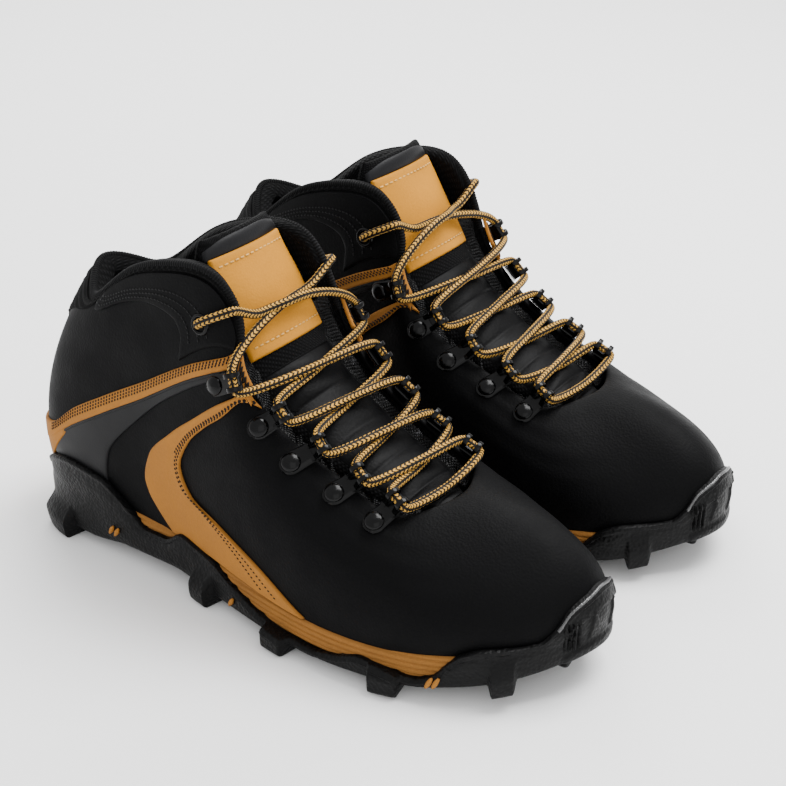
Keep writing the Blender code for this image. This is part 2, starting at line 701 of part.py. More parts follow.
def loop_outline(length):
    """Side view of a loop: base plate, rise and ring, plus the ring's hole."""
    plate = 1.3
    outline = [(-5.0, 0.0), (length - 4.2, 0.0)]
    for turn in np.linspace(-math.pi / 2, math.pi * 0.8, 7):
        outline.append((length + RING_OUT * math.cos(turn), RING_RISE + RING_OUT * math.sin(turn)))
    outline += [(length - 5.5, plate + 0.9), (-5.0, plate)]
    hole = []
    for turn in np.linspace(0, 2 * math.pi, 8, endpoint=False):
        hole.append((length + RING_HOLE * math.cos(turn), RING_RISE + RING_HOLE * math.sin(turn)))
    return outline, hole


def extruded(outline, hole, half_width):
    """Plate with one hole, extruded both ways from its plane."""
    work = bmesh.new()
    edges = []
    for loop in (outline, hole):
        corners = [work.verts.new((x, -half_width, y)) for x, y in loop]
        edges += [work.edges.new((a, b)) for a, b in zip(corners, corners[1:] + corners[:1])]
    flat = bmesh.ops.triangle_fill(work, edges=edges, use_beauty=True, use_dissolve=False)
    faces = [item for item in flat["geom"] if isinstance(item, bmesh.types.BMFace)]
    moved = bmesh.ops.extrude_face_region(work, geom=faces)
    corners = [item for item in moved["geom"] if isinstance(item, bmesh.types.BMVert)]
    bmesh.ops.translate(work, verts=corners, vec=Vector((0, 2 * half_width, 0)))
    work.verts.index_update()
    points = np.array([corner.co[:] for corner in work.verts])
    quads = [tuple(corner.index for corner in face.verts) for face in work.faces]
    work.free()
    return points, quads


def dome(radius, rise, sides):
    """Rivet head: a short drum with a domed top, standing on its plate."""
    rings = [(radius, 0.6), (radius, 2.0), (radius * 0.55, rise)]
    turns = np.linspace(0, 2 * math.pi, sides, endpoint=False)
    points = [(r * math.cos(t), r * math.sin(t), z) for r, z in rings for t in turns]
    faces = []
    for k in range(len(rings) - 1):
        for i in range(sides):
            j = (i + 1) % sides
            faces.append((k * sides + i, k * sides + j, (k + 1) * sides + j, (k + 1) * sides + i))
    faces.append(tuple(range(sides))[::-1])
    faces.append(tuple((len(rings) - 1) * sides + i for i in range(sides)))
    return np.array(points), faces


def lace_loop(boot, number, side):
    foot, ahead, through, up, length = loop_frame(number, side)
    axes = np.array([ahead, through, up])
    points, faces = extruded(*loop_outline(length), LOOP_WIDTH / 2)
    thing = boot.add("loop_%s_%d" % (side, number + 1), (foot + points @ axes, faces), "black_metal")
    points, faces = dome(RIVET_R, 3.4, 10)
    name = "rivet_tool_%s_%d" % (side, number + 1)
    head = boot.add(name, (foot + points @ axes, faces), None, hidden=True)
    combine(thing, head, "UNION")


def eyelet_frame(side):
    u = mirrored(np.array([EYELET_UV[0]]), side)
    v = np.array([EYELET_UV[1]])
    up = form_normal(u, v)[0]
    ahead = np.cross(up, (0, 0, 1.0))
    ahead /= np.linalg.norm(ahead)
    return form(u, v)[0], np.array([ahead, np.cross(up, ahead), up])


def eyelet_tool(boot, side):
    """Cutter for the hole through the quarter and the collar."""
    foot, axes = eyelet_frame(side)
    turns = np.linspace(0, 2 * math.pi, 16, endpoint=False)
    radius = EYELET_HOLE + 1.0
    points = [(radius * math.cos(t), radius * math.sin(t), z) for z in (-16.0, 6.0) for t in turns]
    faces = [(i, (i + 1) % 16, 16 + (i + 1) % 16, 16 + i) for i in range(16)]
    faces += [tuple(range(16))[::-1], tuple(range(16, 32))]
    return boot.add("eyelet_tool_" + side, (foot + np.array(points) @ axes, faces), None, hidden=True)


def eyelet(boot, side):
    """Grommet: a flange outside and a tube through the leather."""
    foot, axes = eyelet_frame(side)
    profile = [(EYELET_HOLE, -2.2), (EYELET_HOLE + 0.7, -2.2), (EYELET_HOLE + 0.7, 0.6),
               (EYELET_FLANGE, 0.6), (EYELET_FLANGE - 0.5, 1.4), (EYELET_HOLE, 1.2)]
    sides = 12
    count = len(profile)
    points = []
    for i in range(sides):
        turn = 2 * math.pi * i / sides
        points += [(r * math.cos(turn), r * math.sin(turn), z) for r, z in profile]
    faces = []
    for i in range(sides):
        for j in range(count):
            a, b = i * count, ((i + 1) % sides) * count
            k = (j + 1) % count
            faces.append((a + j, b + j, b + k, a + k))
    boot.add("eyelet_" + side, (foot + np.array(points) @ axes, faces), "black_metal")


def over_tongue(s, b, height):
    """Point above the tongue at distance s from the heel."""
    at = np.linspace(0, len(TONGUE_LINE) - 1, 400)
    best = at[np.argmin(abs(tongue_frame(at)[0][:, 0] - s))]
    return tongue_point(best, b, height)


def lace_strand(start_side):
    """Half of the lace: from the lowest bar, crossing at each row, to the far eyelet."""
    other = {"lateral": "medial", "medial": "lateral"}
    low, high = LACE_LEVELS
    over = start_side == "medial"
    points = []
    side = start_side
    for number in range(len(LOOPS) - 1, -1, -1):
        foot, ahead, through, up, length = loop_frame(number, side)
        towards_ankle = -through if through[0] > 0 else through
        ring = foot + ahead * length + up * RING_RISE
        points += [ring + towards_ankle * reach for reach in RING_PASS]
        s = LOOPS[number][1][0]
        s = (s + LOOPS[number - 1][1][0]) / 2 if number else LAST_CROSSING
        patch = PATCH_LIFT if number == 0 else 0.0
        points.append(over_tongue(s, 0.0, (high if over else low) + patch))
        over = not over
        side = other[side]
    sign = -1.0 if side == "lateral" else 1.0
    points.append(over_tongue(LAST_CROSSING + 3.0, 0.8 * sign, high))
    for u, v, out in LACE_OVER_COLLAR:
        points.append(skin(mirrored(np.array([u]), side), np.array([v]), out)[0])
    foot, axes = eyelet_frame(side)
    points += [foot + axes[2] * depth for depth in (4.0, 1.8, -2.6, -8.0)]
    return points


def lace(boot):
    """One cord: eyelet, five crossings, the straight bar, and back up to the other eyelet."""
    outer = lace_strand("lateral")
    inner = lace_strand("medial")
    bar = over_tongue(LOOPS[-1][1][0] + 5.0, 0.0, 3.4)
    points = np.array(outer[::-1] + [bar] + inner)
    gaps = np.linalg.norm(np.diff(points, axis=0), axis=1)
    places = np.concatenate([[0], np.cumsum(gaps)])
    stops = [places[:1]]
    for start, end, gap in zip(places, places[1:], gaps):
        stops.append(np.linspace(start, end, 1 + int(math.ceil(gap / LACE_STEP)))[1:])
    at = np.concatenate(stops)
    centres = np.stack([smooth(list(zip(places, column)))(at) for column in points.T], -1)
    boot.add("lace", tube(centres, LACE_R, 5), "lace_cord")


# ---- assembly -----------------------------------------------------------------------
def build_boot(name, sign):
    boot = Boot(name, sign)
    sides = ("lateral", "medial")
    boot.eyelet_tools = {side: eyelet_tool(boot, side) for side in sides}
    for piece in (outsole, midsole, shank, lasting_board, footbed, toe_puff, heel_counter, vamp,
                  collar_lining, tongue, tongue_patch, lace):
        piece(boot)
    for side in sides:
        for piece in (quarter, stripe, swoosh, eyelet):
            piece(boot, side)
        for number in range(len(LOOPS)):
            lace_loop(boot, number, side)


def main():
    clear_scene()
    build_boot("right", 1.0)
    build_boot("left", -1.0)


main()
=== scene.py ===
"""Looks for the pair of hiking boots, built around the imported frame.

Shapes are drawn once in boot coordinates, in millimetres, and placed twice:
  s  distance from the back of the heel towards the toe
  m  distance from the boot's centre line, negative on the outer (lateral) side
  z  height above the ground
The upper is one smooth form with two parameters.  u runs once around the boot:
0 at the back of the heel, 13 at the toe, and back along the inner side to 26.
v runs from 0 at the feather line, where the upper meets the sole, to 1 at the
collar and throat edge.  Panels are patches of that form with rounded edges.
"""
import math

import bmesh
import bpy
import numpy as np
from mathutils import Matrix, Vector

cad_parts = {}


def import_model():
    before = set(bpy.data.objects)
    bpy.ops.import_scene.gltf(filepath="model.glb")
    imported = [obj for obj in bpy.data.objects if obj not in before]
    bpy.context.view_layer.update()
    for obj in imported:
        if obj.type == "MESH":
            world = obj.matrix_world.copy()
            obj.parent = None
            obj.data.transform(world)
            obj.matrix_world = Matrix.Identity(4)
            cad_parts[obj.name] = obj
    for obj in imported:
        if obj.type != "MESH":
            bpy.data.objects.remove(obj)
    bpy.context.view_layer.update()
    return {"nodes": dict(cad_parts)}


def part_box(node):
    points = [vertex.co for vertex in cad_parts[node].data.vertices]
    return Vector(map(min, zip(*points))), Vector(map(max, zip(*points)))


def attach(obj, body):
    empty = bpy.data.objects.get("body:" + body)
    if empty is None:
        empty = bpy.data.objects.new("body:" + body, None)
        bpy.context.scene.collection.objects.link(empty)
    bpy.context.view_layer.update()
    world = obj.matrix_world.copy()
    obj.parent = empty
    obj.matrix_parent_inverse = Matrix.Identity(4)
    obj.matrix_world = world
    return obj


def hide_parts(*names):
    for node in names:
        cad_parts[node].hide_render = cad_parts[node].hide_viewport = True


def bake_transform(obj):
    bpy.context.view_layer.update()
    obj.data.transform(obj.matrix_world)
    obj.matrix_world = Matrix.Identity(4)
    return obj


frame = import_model()
MM = 0.001


def corners(node):
    """Lowest and highest corner of a CAD node, in millimetres."""
    return np.array([list(corner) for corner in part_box(node)]) / MM


# Places taken from the frame, millimetres.
SHANK_MIDDLE_S = 105.0                   # the shank's middle, from the heel's back
SHANK = corners("right_shank")
HALF_SPACING = -SHANK[:, 0].mean()
S_MIDDLE = SHANK[:, 1].mean() + SHANK_MIDDLE_S

# The form, as in the CAD.
# One station per row, heel to toe along the outer side: (s, half width, z) of
# the feather line, the two handles of the side curve, and the top edge.
OUTER = [
    ((-1, 0, 28), (-12, 0, 62), (7, 0, 104), (29, 0, 134)),
    ((6, 21, 28), (-4, 26, 62), (15, 20, 104), (36, 15, 129)),
    ((25, 34, 28), (20, 40, 60), (34, 29, 104), (48, 25, 127)),
    ((54, 37, 28), (52, 43, 60), (61, 31, 114), (72, 29, 145)),
    ((82, 38, 26), (82, 42, 58), (87, 34, 120), (98, 31, 156)),
    ((108, 40, 24), (108, 45, 56), (112, 38, 122), (125, 31, 157)),
    ((133, 45, 22), (134, 50, 54), (130, 43, 114), (139, 31, 139)),
    ((157, 50, 20), (158, 54, 52), (145, 45, 98), (142, 34, 120)),
    ((182, 54, 19), (184, 58, 50), (166, 44, 86), (156, 33, 98)),
    ((208, 55, 19), (210, 58, 46), (186, 43, 75), (176, 31, 85)),
    ((236, 51, 20), (238, 56, 42), (208, 42, 64), (196, 30, 76)),
    ((262, 41, 23), (266, 46, 42), (228, 37, 60), (214, 28, 69)),
    ((284, 24, 26), (289, 28, 50), (246, 20, 65), (225, 15, 69.5)),
    ((297, -3, 28), (303, -3, 57), (258, -2, 74), (229, 0, 70)),
]
# Half widths of the same four curves on the inner side, heel to toe.
INNER_WIDTHS = [
    (21, 26, 20, 15), (34, 40, 29, 25), (36, 40, 31, 29), (35, 38, 34, 31),
    (36, 40, 38, 31), (39, 44, 42, 31), (42, 48, 45, 34), (46, 50, 44, 33),
    (49, 52, 43, 31), (49, 51, 41, 30), (42, 44, 35, 28), (25, 28, 19, 15),
]
TOE_U = len(OUTER) - 1
AROUND = 2 * TOE_U

# Outlines on the form, outer side: (u, v).
STRIPE_LOW = [(0, 0.10), (1, 0.13), (1.6, 0.19), (2.4, 0.33), (3, 0.405), (4.1, 0.525),
              (5.3, 0.665), (5.9, 0.76), (6.25, 0.83)]
STRIPE_HIGH = [(0, 0.22), (1, 0.24), (1.75, 0.29), (2.4, 0.41), (3, 0.475), (4.1, 0.582),
               (5.3, 0.715), (5.9, 0.815), (6.25, 0.90)]
HEEL_PANEL_LOW = [(0, 0.0), (1.3, 0.0), (1.5, 0.06), (1.7, 0.12), (1.95, 0.20), (2.2, 0.275)]
SWOOSH_BACK = [(4.57, 0.012), (4.25, 0.10), (4.06, 0.16), (3.98, 0.22), (4.1, 0.32),
               (4.65, 0.43), (5.2, 0.515), (5.8, 0.62), (6.6, 0.77), (7.3, 0.93)]
SWOOSH_FRONT = [(8.1, 0.012), (7.0, 0.145), (6.0, 0.198), (5.25, 0.226), (4.87, 0.33),
                (5.07, 0.42), (5.5, 0.51), (6.05, 0.61), (6.9, 0.80), (7.65, 0.955)]
SATIN_EDGE = [(3.06, 0.02), (3.1, 0.18), (3.16, 0.256), (3.33, 0.317), (3.55, 0.369),
              (3.9, 0.44), (4.26, 0.50), (4.92, 0.585), (5.43, 0.655), (6.1, 0.775)]
ANKLE_EDGE = [(2.42, 0.955), (2.28, 0.925), (2.3, 0.885), (2.6, 0.855), (3.1, 0.848),
              (3.7, 0.842), (4.15, 0.82), (4.5, 0.785), (4.66, 0.735), (4.68, 0.665)]
ANKLE_TOP = [(2.45, 0.956), (2.6, 0.958), (2.8, 0.96), (3.2, 0.962), (3.9, 0.962),
             (4.7, 0.962), (5.3, 0.958), (5.75, 0.95), (6.1, 0.935), (6.25, 0.905)]
ACHILLES_EDGE = [(0.0, 0.60), (0.35, 0.66), (0.9, 0.78), (1.6, 0.88), (2.35, 0.945)]
# Where the quarter meets the vamp, hidden under the swoosh: v -> u.
SEAM = [(0, 6.3), (0.07, 5.95), (0.13, 5.4), (0.22, 4.6), (0.3, 4.45), (0.4, 4.72),
        (0.56, 5.62), (0.68, 6.2), (0.81, 6.88), (0.94, 7.45), (1, 7.7)]
# Top edge of the rubber side wall: u -> z, and one point past the toe to level it there.
WALL_TOP = [(0, 9), (0.5, 11), (0.9, 19), (1.3, 32), (1.8, 41), (2.3, 44), (3, 41), (3.3, 35),
            (3.6, 28), (3.95, 22), (4.4, 22), (4.86, 28), (5.2, 26), (5.7, 23), (6.3, 17),
            (7.3, 10.5), (8.3, 8.6), (8.8, 10.5), (9.25, 14), (9.7, 12.5), (10.1, 10.5), (10.4, 13),
            (10.6, 19), (10.85, 25), (11.2, 28), (11.95, 29), (12.2, 34), (12.45, 41), (12.75, 44.5),
            (13, 46), (13.25, 44.5)]
# Lace loops, toe end last: rivet (u, v) and the ring's centre (s, half width, z).
LOOPS = [((5.83, 0.70), (145.0, 33.6, 115.5)), ((7.54, 0.82), (159, 30.5, 101)),
         ((8.32, 0.80), (177.5, 29, 90)), ((9.36, 0.826), (197, 27.7, 81)),
         ((10.3, 0.83), (215, 26.5, 74))]

# Tongue: outer surface along the middle, base to top.
TONGUE_LINE = [(232, 61), (222, 66), (213, 70), (196, 78), (178, 87.5), (160, 100),
               (147, 113), (138, 127), (129, 143), (121, 157), (117, 168)]
TONGUE_HALF = [8, 11, 20, 23, 24, 25, 26, 26.5, 26, 25, 21]
TONGUE_THICK = [3.0, 3.5, 4.0, 4.5, 5.0, 6.0, 7.0, 8.0, 9.0, 9.0, 5.0]
TONGUE_ARCH = [0.5, 1.5, 4, 6, 7, 7.5, 7.5, 7, 6.5, 6, 5]
PATCH_LOW, PATCH_HIGH = 6.48, 9.22
PATCH_HALF = 0.92                        # of the tongue's half width
BORDER_LOW, BORDER_HIGH = 9.2, 9.8
QUILT_LOW, QUILT_HIGH = 0.75, 6.05
QUILT_HALF = 0.86

# Sizes, millimetres, unless a comment says otherwise.
UPPER = 1.8               # the leather
PANEL_SINK = 0.4          # how far a panel's back lies in what is under it
COLLAR_PAD = 10.0         # how far the padded collar reaches in from the leather
LOBE_PAD = 5.0            # the same at its thin front edges
LINING = 6.0              # the lining's inside, in from the leather's outside
TREAD = 5.0
PLATE = 2.6               # rubber between the lugs and the midsole
WAIST = (82, 14, 26)      # the sole's hollow: middle, half length, ramp
HOLLOW = 2.6
TOE_SPRING = 15.0
SPRING_START = 215.0
TOE_S = 303.0
SIDE_LUGS = [(21, 20), (120, 14), (171, 15), (227, 15), (272, 10)]      # middle, length
SET_BACK_LUGS = [(50, 16), (75, 14), (98, 13), (146, 16), (199, 15), (250, 13)]
CENTRE_LUGS = [(16, 16), (46, 18), (76, 14), (106, 14), (136, 16), (166, 18), (196, 18),
               (226, 17), (254, 15), (281, 14)]
COMB_PITCH = 2.1          # upright ribs on the toe bumper
GROOVE_PITCH = 2.7        # grooves around the midsole
LACE_R = 2.0
LACE_BAR = 2.0            # pitch of the bars woven into the lace
LACE_LEVELS = (3.0, 7.6)  # the lower and the upper cord of a crossing, above the tongue
LACE_STEP = 1.1
LACE_SMOOTHING = 9        # passes over the lace's path
LACE_BEND_FROM, LACE_BEND = 32.0, 6.5    # largest start of a run's blend range in m, and its length
LACE_OVER_COLLAR = (5.72, 0.99, 3.2)     # u, v, height
LOWEST_BAR = (5.0, 3.4)   # past the last rings, above the tongue
LAST_CROSSING = 134.0
PATCH_LIFT = 1.6
GUSSET_BLEND = (33.0, 22.0)
GUSSET_U = (6.0, 11.2)    # in u
RING_R = 3.2
RING_RISE = 4.8           # a ring's centre above the leather
RING_PASS = (-4.4, -3.1, 3.1, 4.2)       # the lace's points through a ring
RIVET_R = 4.3
LOOP_PLATE = 0.9
LOOP_BAND = (1.15, 1.05, 3.0)            # half width, thickness, place from the middle
EYELET_HOLE = 3.0
EYELET_FLANGE = 5.0
EYELET_UV = (5.08, 0.82)
EYELET_PASS = (4.0, 1.8, -2.6, -5.0)     # the lace's points through an eyelet
TAB_START, TAB_SIZE = (6.62, 0.868), (0.72, 0.12)   # in u and v
# Stitches: height on the form, steps of the line, pitch, length, radius, slant in degrees.
STRIPE_STITCH = (1.62, 300, 2.1, 1.15, 0.42, 40)
SWOOSH_STITCH = (1.62, 300, 2.1, 1.15, 0.40, 25)
ANKLE_STITCH = (1.55, 260, 2.2, 1.5, 0.34, 0)


# Curves.
def smooth(points):
    """A smooth function through (x, y) points that never overshoots them."""
    x, y = np.array(points, float).T
    step = np.diff(x)
    rise = np.diff(y) / step
    slope = np.zeros(len(x))
    slope[0], slope[-1] = rise[0], rise[-1]
    same = rise[:-1] * rise[1:] > 0
    slope[1:-1][same] = 2 * rise[:-1][same] * rise[1:][same] / (rise[:-1] + rise[1:])[same]

    def value(at):
        at = np.clip(np.asarray(at, float), x[0], x[-1])
        i = np.clip(np.searchsorted(x, at, side="right") - 1, 0, len(x) - 2)
        t = (at - x[i]) / step[i]
        start = (1 + 2 * t) * (1 - t) ** 2 * y[i] + t * (1 - t) ** 2 * step[i] * slope[i]
        return start + t * t * (3 - 2 * t) * y[i + 1] + t * t * (t - 1) * step[i] * slope[i + 1]

    return value


def round_path(points):
    """A Catmull-Rom curve through points, as a function of the point number."""
    p = np.array(points, float)
    last = len(p) - 1

    def value(at):
        at = np.asarray(at, float)
        i = np.clip(np.floor(at).astype(int), 0, last - 1)
        t = (at - i)[..., None]
        a, b, c, d = p[np.maximum(i - 1, 0)], p[i], p[i + 1], p[np.minimum(i + 2, last)]
        even = 2 * b + (c - a) * t + (2 * a - 5 * b + 4 * c - d) * t ** 2
        return 0.5 * (even + (3 * b - a - 3 * c + d) * t ** 3)

    return value


def round_loop(points):
    """A closed cubic spline through points, as a function of the point number."""
    p = np.array(points, float)
    n = len(p)
    turn = 6 * (np.roll(p, -1, 0) - 2 * p + np.roll(p, 1, 0))
    ring = 4 * np.eye(n) + np.roll(np.eye(n), 1, 0) + np.roll(np.eye(n), -1, 0)
    bend = np.linalg.solve(ring, turn)

    def value(at):
        at = np.asarray(at, float)
        i = np.floor(at).astype(int)
        t = (at - i)[..., None]
        i, j = i % n, (i + 1) % n
        flat = p[i] * (1 - t) + p[j] * t
        return flat + ((1 - t) ** 3 - (1 - t)) * bend[i] / 6 + (t ** 3 - t) * bend[j] / 6

    return value


def through(places, points):
    """A smooth curve that is at each point at its place."""
    columns = [smooth(list(zip(places, column))) for column in np.transpose(points)]
    return lambda at: np.stack([column(at) for column in columns], -1)


def outline(points):
    """A curve through (u, v) points, evenly paced, as a function of 0 to 1."""
    gaps = np.linalg.norm(np.diff(points, axis=0) * (12.0, 120.0), axis=1)
    return through(np.concatenate([[0], np.cumsum(gaps)]) / gaps.sum(), points)


def between(edges, share):
    """Part of the way from the first edge to the second."""
    return edges[0] * (1 - share) + edges[1] * share


def full_turn(count):
    return np.linspace(0, 2 * math.pi, count, endpoint=False)


def window(x, half, ramp):
    """1 within half of zero, falling smoothly to 0 over ramp."""
    t = np.clip((half + ramp - np.abs(x)) / ramp, 0, 1)
    return t * t * (3 - 2 * t)


def form_rails():
    rails = []
    for r in range(4):
        outer = [(row[r][0], -row[r][1], row[r][2]) for row in OUTER]
        widths = [row[r] for row in INNER_WIDTHS]
        inner = [(s, width, z) for (s, m, z), width in zip(outer[1:], widths)]
        rails.append(round_loop(outer + inner[::-1]))
    return rails


RAILS = form_rails()


def form(u, v):
    """Point of the upper's outer surface."""
    u, v = np.broadcast_arrays(np.asarray(u, float), np.asarray(v, float))
    t = v[..., None]
    a, b, c, d = [rail(u) for rail in RAILS]
    return a * (1 - t) ** 3 + 3 * b * t * (1 - t) ** 2 + 3 * c * t * t * (1 - t) + d * t ** 3


def unit(vectors):
    return vectors / np.maximum(np.linalg.norm(vectors, axis=-1, keepdims=True), 1e-12)


def form_normal(u, v):
    h = 0.02
    v = np.clip(np.asarray(v, float), h, 1 - h)
    return unit(np.cross(form(u + h, v) - form(u - h, v), form(u, v + h) - form(u, v - h)))


def skin(u, v, out):
    """Point at a distance outwards from the form."""
    u, v, out = np.broadcast_arrays(np.asarray(u, float), np.asarray(v, float), out)
    return form(u, v) + form_normal(u, v) * out[..., None]


def plan_normal(u):
    along = RAILS[0](u + 0.05) - RAILS[0](u - 0.05)
    return unit(np.stack([along[..., 1], -along[..., 0], np.zeros_like(along[..., 0])], -1))


def level(u, z):
    """v at which the form reaches height z, found by halving."""
    low = np.zeros_like(u)
    high = np.full_like(u, 0.6)
    for _ in range(24):
        middle = (low + high) / 2
        below = form(u, middle)[..., 2] < z
        low = np.where(below, middle, low)
        high = np.where(below, high, middle)
    return low


def side_ring(u, z, out):
    """Ring around the boot at height z: down the sole's side, or up the form's."""
    feather = RAILS[0](u)
    z = np.broadcast_to(z, u.shape)
    base = np.where((z > feather[:, 2])[:, None], form(u, level(u, z)), feather)
    ring = base + plan_normal(u) * np.broadcast_to(out, u.shape)[:, None]
    ring[:, 2] = z
    return ring


def base_height(s):
    """Underside of the outsole plate: flat, then rising in the toe spring."""
    rise = np.clip((s - SPRING_START) / (TOE_S - SPRING_START), 0, None)
    return TREAD + TOE_SPRING * rise ** 2


def mirrored(u, side):
    return u if side == "lateral" else AROUND - u


SIGNS = {"lateral": -1.0, "medial": 1.0}


# Solids: points, and groups of (faces, UV corners in millimetres).
def quads(rows, columns, uv, wrap_rows=False, wrap_columns=False):
    """Faces of a grid of points; uv has one row or column more where the grid wraps."""
    i = np.arange(rows if wrap_rows else rows - 1)[:, None]
    j = np.arange(columns if wrap_columns else columns - 1)[None, :]
    around = ((i, j), (i + 1, j), (i + 1, j + 1), (i, j + 1))
    faces = np.stack([(a % rows) * columns + b % columns for a, b in around], -1)
    places = np.stack([uv[a, b] for a, b in around], -2)
    return faces.reshape(-1, 4), places.reshape(-1, 4, 2)


def slab(outer, inner, uv, around=False):
    """Closed solid between two matching grids of points."""
    rows, columns = outer.shape[:2]
    ring = np.concatenate([outer, inner[:, ::-1]], 1)
    ring_uv = np.concatenate([uv, uv[:, ::-1], uv[:, :1]], 1)
    groups = [quads(rows, 2 * columns, ring_uv, around, True)]
    if not around:
        for row in (0, rows - 1):
            a = row * 2 * columns + np.arange(columns - 1)
            b = row * 2 * columns + 2 * columns - 1 - np.arange(columns - 1)
            places = np.stack([uv[row, :-1], uv[row, 1:], uv[row, 1:], uv[row, :-1]], 1)
            groups.append((np.stack([a, a + 1, b - 1, b], -1), places))
    return ring.reshape(-1, 3), groups


def spans(points, axis):
    """Distances along the rows or columns of a grid."""
    gaps = np.linalg.norm(np.diff(points, axis=axis), axis=-1)
    return np.insert(np.cumsum(gaps, axis=axis), 0, 0, axis=axis)


def measured(points, around=False):
    """UV of a grid in millimetres; a wrapped grid gets its closing row too."""
    if around:
        points = np.concatenate([points, points[:1]], 0)
    return np.stack([spans(points, 0), spans(points, 1)], -1)


def capped(rings, uv):
    """Closed solid through rings of points, with flat ends."""
    count, sides = rings.shape[:2]
    groups = [quads(count, sides, uv, False, True)]
    for row in (0, count - 1):
        groups.append((row * sides + np.arange(sides)[None], uv[row, None, :-1]))
    return rings.reshape(-1, 3), groups


def bridged(rings):
    """Closed solid through rings that start at the heel; its ends are bridged side to side."""
    count, n = rings.shape[:2]
    uv = measured(rings.transpose(1, 0, 2), around=True).transpose(1, 0, 2)[..., ::-1]
    groups = [quads(count, n, uv, False, True)]
    for row in (0, count - 1):
        i = np.arange(1, n // 2 - 1)
        strip = row * n + np.stack([i, i + 1, n - i - 1, n - i], -1)
        ends = row * n + np.array([(0, 1, n - 1), (n // 2 - 1, n // 2, n // 2 + 1)])
        flat = rings.reshape(-1, 3)[..., :2]
        groups += [(strip, flat[strip]), (ends, flat[ends])]
    return rings.reshape(-1, 3), groups


def tube(centres, radius, sides):
    """Round cord along a path; its radius may vary."""
    ahead = unit(np.gradient(centres, axis=0))
    across = np.zeros_like(ahead)
    across[0] = unit(np.cross(ahead[0], (0.13, 0.21, 1.0)))
    for i in range(1, len(ahead)):
        across[i] = unit(across[i - 1] - ahead[i] * across[i - 1].dot(ahead[i]))
    lift = np.cross(across, ahead)
    turns = full_turn(sides)[None, :, None]
    radius = np.broadcast_to(radius, len(centres))[:, None, None]
    round_off = np.cos(turns) * across[:, None] + np.sin(turns) * lift[:, None]
    rings = centres[:, None] + radius * round_off
    along = spans(centres[:, None], 0)
    uv = np.stack(np.broadcast_arrays(along, np.linspace(0, 1, sides + 1)[None]), -1)
    return capped(rings, uv)


def turned(profile, sides, foot, axes):
    """Solid of revolution from (radius, height) points, about the third axis; profile closes."""
    turns = full_turn(sides)[:, None]
    r, z = np.array(profile, float).T
    local = np.stack([r * np.cos(turns), r * np.sin(turns), np.broadcast_to(z, (sides, len(r)))], -1)
    uv = np.zeros((sides + 1, len(r) + 1, 2))
    uv[..., 0] = np.linspace(0, 2 * math.pi * np.max(r), sides + 1)[:, None]
    uv[..., 1] = np.arange(len(r) + 1)
    return foot + local.reshape(-1, 3) @ axes, [quads(sides, len(r), uv, True, True)]


def joined(solids):
    points, groups, start = [], [], 0
    for solid_points, solid_groups in solids:
        points.append(solid_points)
        groups += [(faces + start, uv) for faces, uv in solid_groups]
        start += len(solid_points)
    return np.concatenate(points), groups


def resampled(line, pitch):
    """Points at an even pitch along a polyline of points, or of points with normals."""
    places = spans(line[:, None, :3], 0)[:, 0]
    at = np.arange(pitch / 2, places[-1], pitch)
    return np.stack([np.interp(at, places, column) for column in line.T], -1)


def capsule():
    """One stitch: a short round-ended thread of unit length and radius along x."""
    x = np.array([-0.5, -0.44, -0.25, 0.25, 0.44, 0.5])
    radius = np.array([0.3, 0.75, 1.0, 1.0, 0.75, 0.3])
    y, z = radius[:, None] * np.cos(full_turn(6)), radius[:, None] * np.sin(full_turn(6))
    rings = np.stack(np.broadcast_arrays(x[:, None], y, z), -1)
    return capped(rings, np.zeros((6, 7, 2)))


def scattered(template, places, frames, size):
    """Copies of a solid, each on its own axes, with its three sides scaled."""
    points, groups = template
    moved = np.einsum("kc,ncd->nkd", points * size, frames) + places[:, None]
    starts = len(points) * np.arange(len(places))[:, None, None]
    spread = [((faces[None] + starts).reshape(-1, faces.shape[1]),
               np.tile(uv, (len(places), 1, 1))) for faces, uv in groups]
    return moved.reshape(-1, 3), spread


def stitched(line, pitch, length, radius, slant=0):
    """Stitches along a line of points with normals; slant turns each one, in degrees."""
    spots = resampled(line, pitch)
    places, up = spots[:, :3], unit(spots[:, 3:])
    ahead = np.gradient(places, axis=0)
    ahead = unit(ahead - up * (ahead * up).sum(-1, keepdims=True))
    across = np.cross(up, ahead)
    turn = math.radians(slant)
    first = ahead * math.cos(turn) + across * math.sin(turn)
    frames = np.stack([first, np.cross(up, first), up], 1)
    return scattered(capsule(), places, frames, (length, radius, radius * 0.8))


def form_line(points, out, side, count):
    """Line of points with normals on the form, along an outline of (u, v) points."""
    u, v = outline(points)(np.linspace(0, 1, count)).T
    u = mirrored(u, side)
    return np.concatenate([skin(u, v, out), form_normal(u, v)], -1)


# Panels.
def rim_steps(length, spacing, edge=1.2):
    """Steps from 0 to 1 that are fine over the rounded rims."""
    rim = edge / length * np.array([0, 0.12, 0.35, 0.65, 1.0])
    inner = np.linspace(rim[-1], 1 - rim[-1], max(3, int(length / spacing)))
    return np.concatenate([rim[:-1], inner, 1 - rim[-2::-1]])


def panel(u, v, lift, thick, edge, free=(1, 1, 1, 1), relief=0.0):
    """Patch of the form whose free sides (first and last row, first and last column) are rounded."""
    base, normal = form(u, v), form_normal(u, v)
    down, across = spans(base, 0), spans(base, 1)
    reach = (down, down[-1:] - down, across, across[:, -1:] - across)
    near = np.min([np.where(flag, r, 1e3) for flag, r in zip(free, reach)], 0)
    t = np.clip(near / edge, 0, 1)
    rise = lift + thick * (0.15 + 0.85 * np.sqrt(1 - (1 - t) ** 2)) + relief
    outer = base + normal * rise[..., None]
    inner = base + normal * (lift - PANEL_SINK)
    return slab(outer, inner, np.stack([down, across], -1))


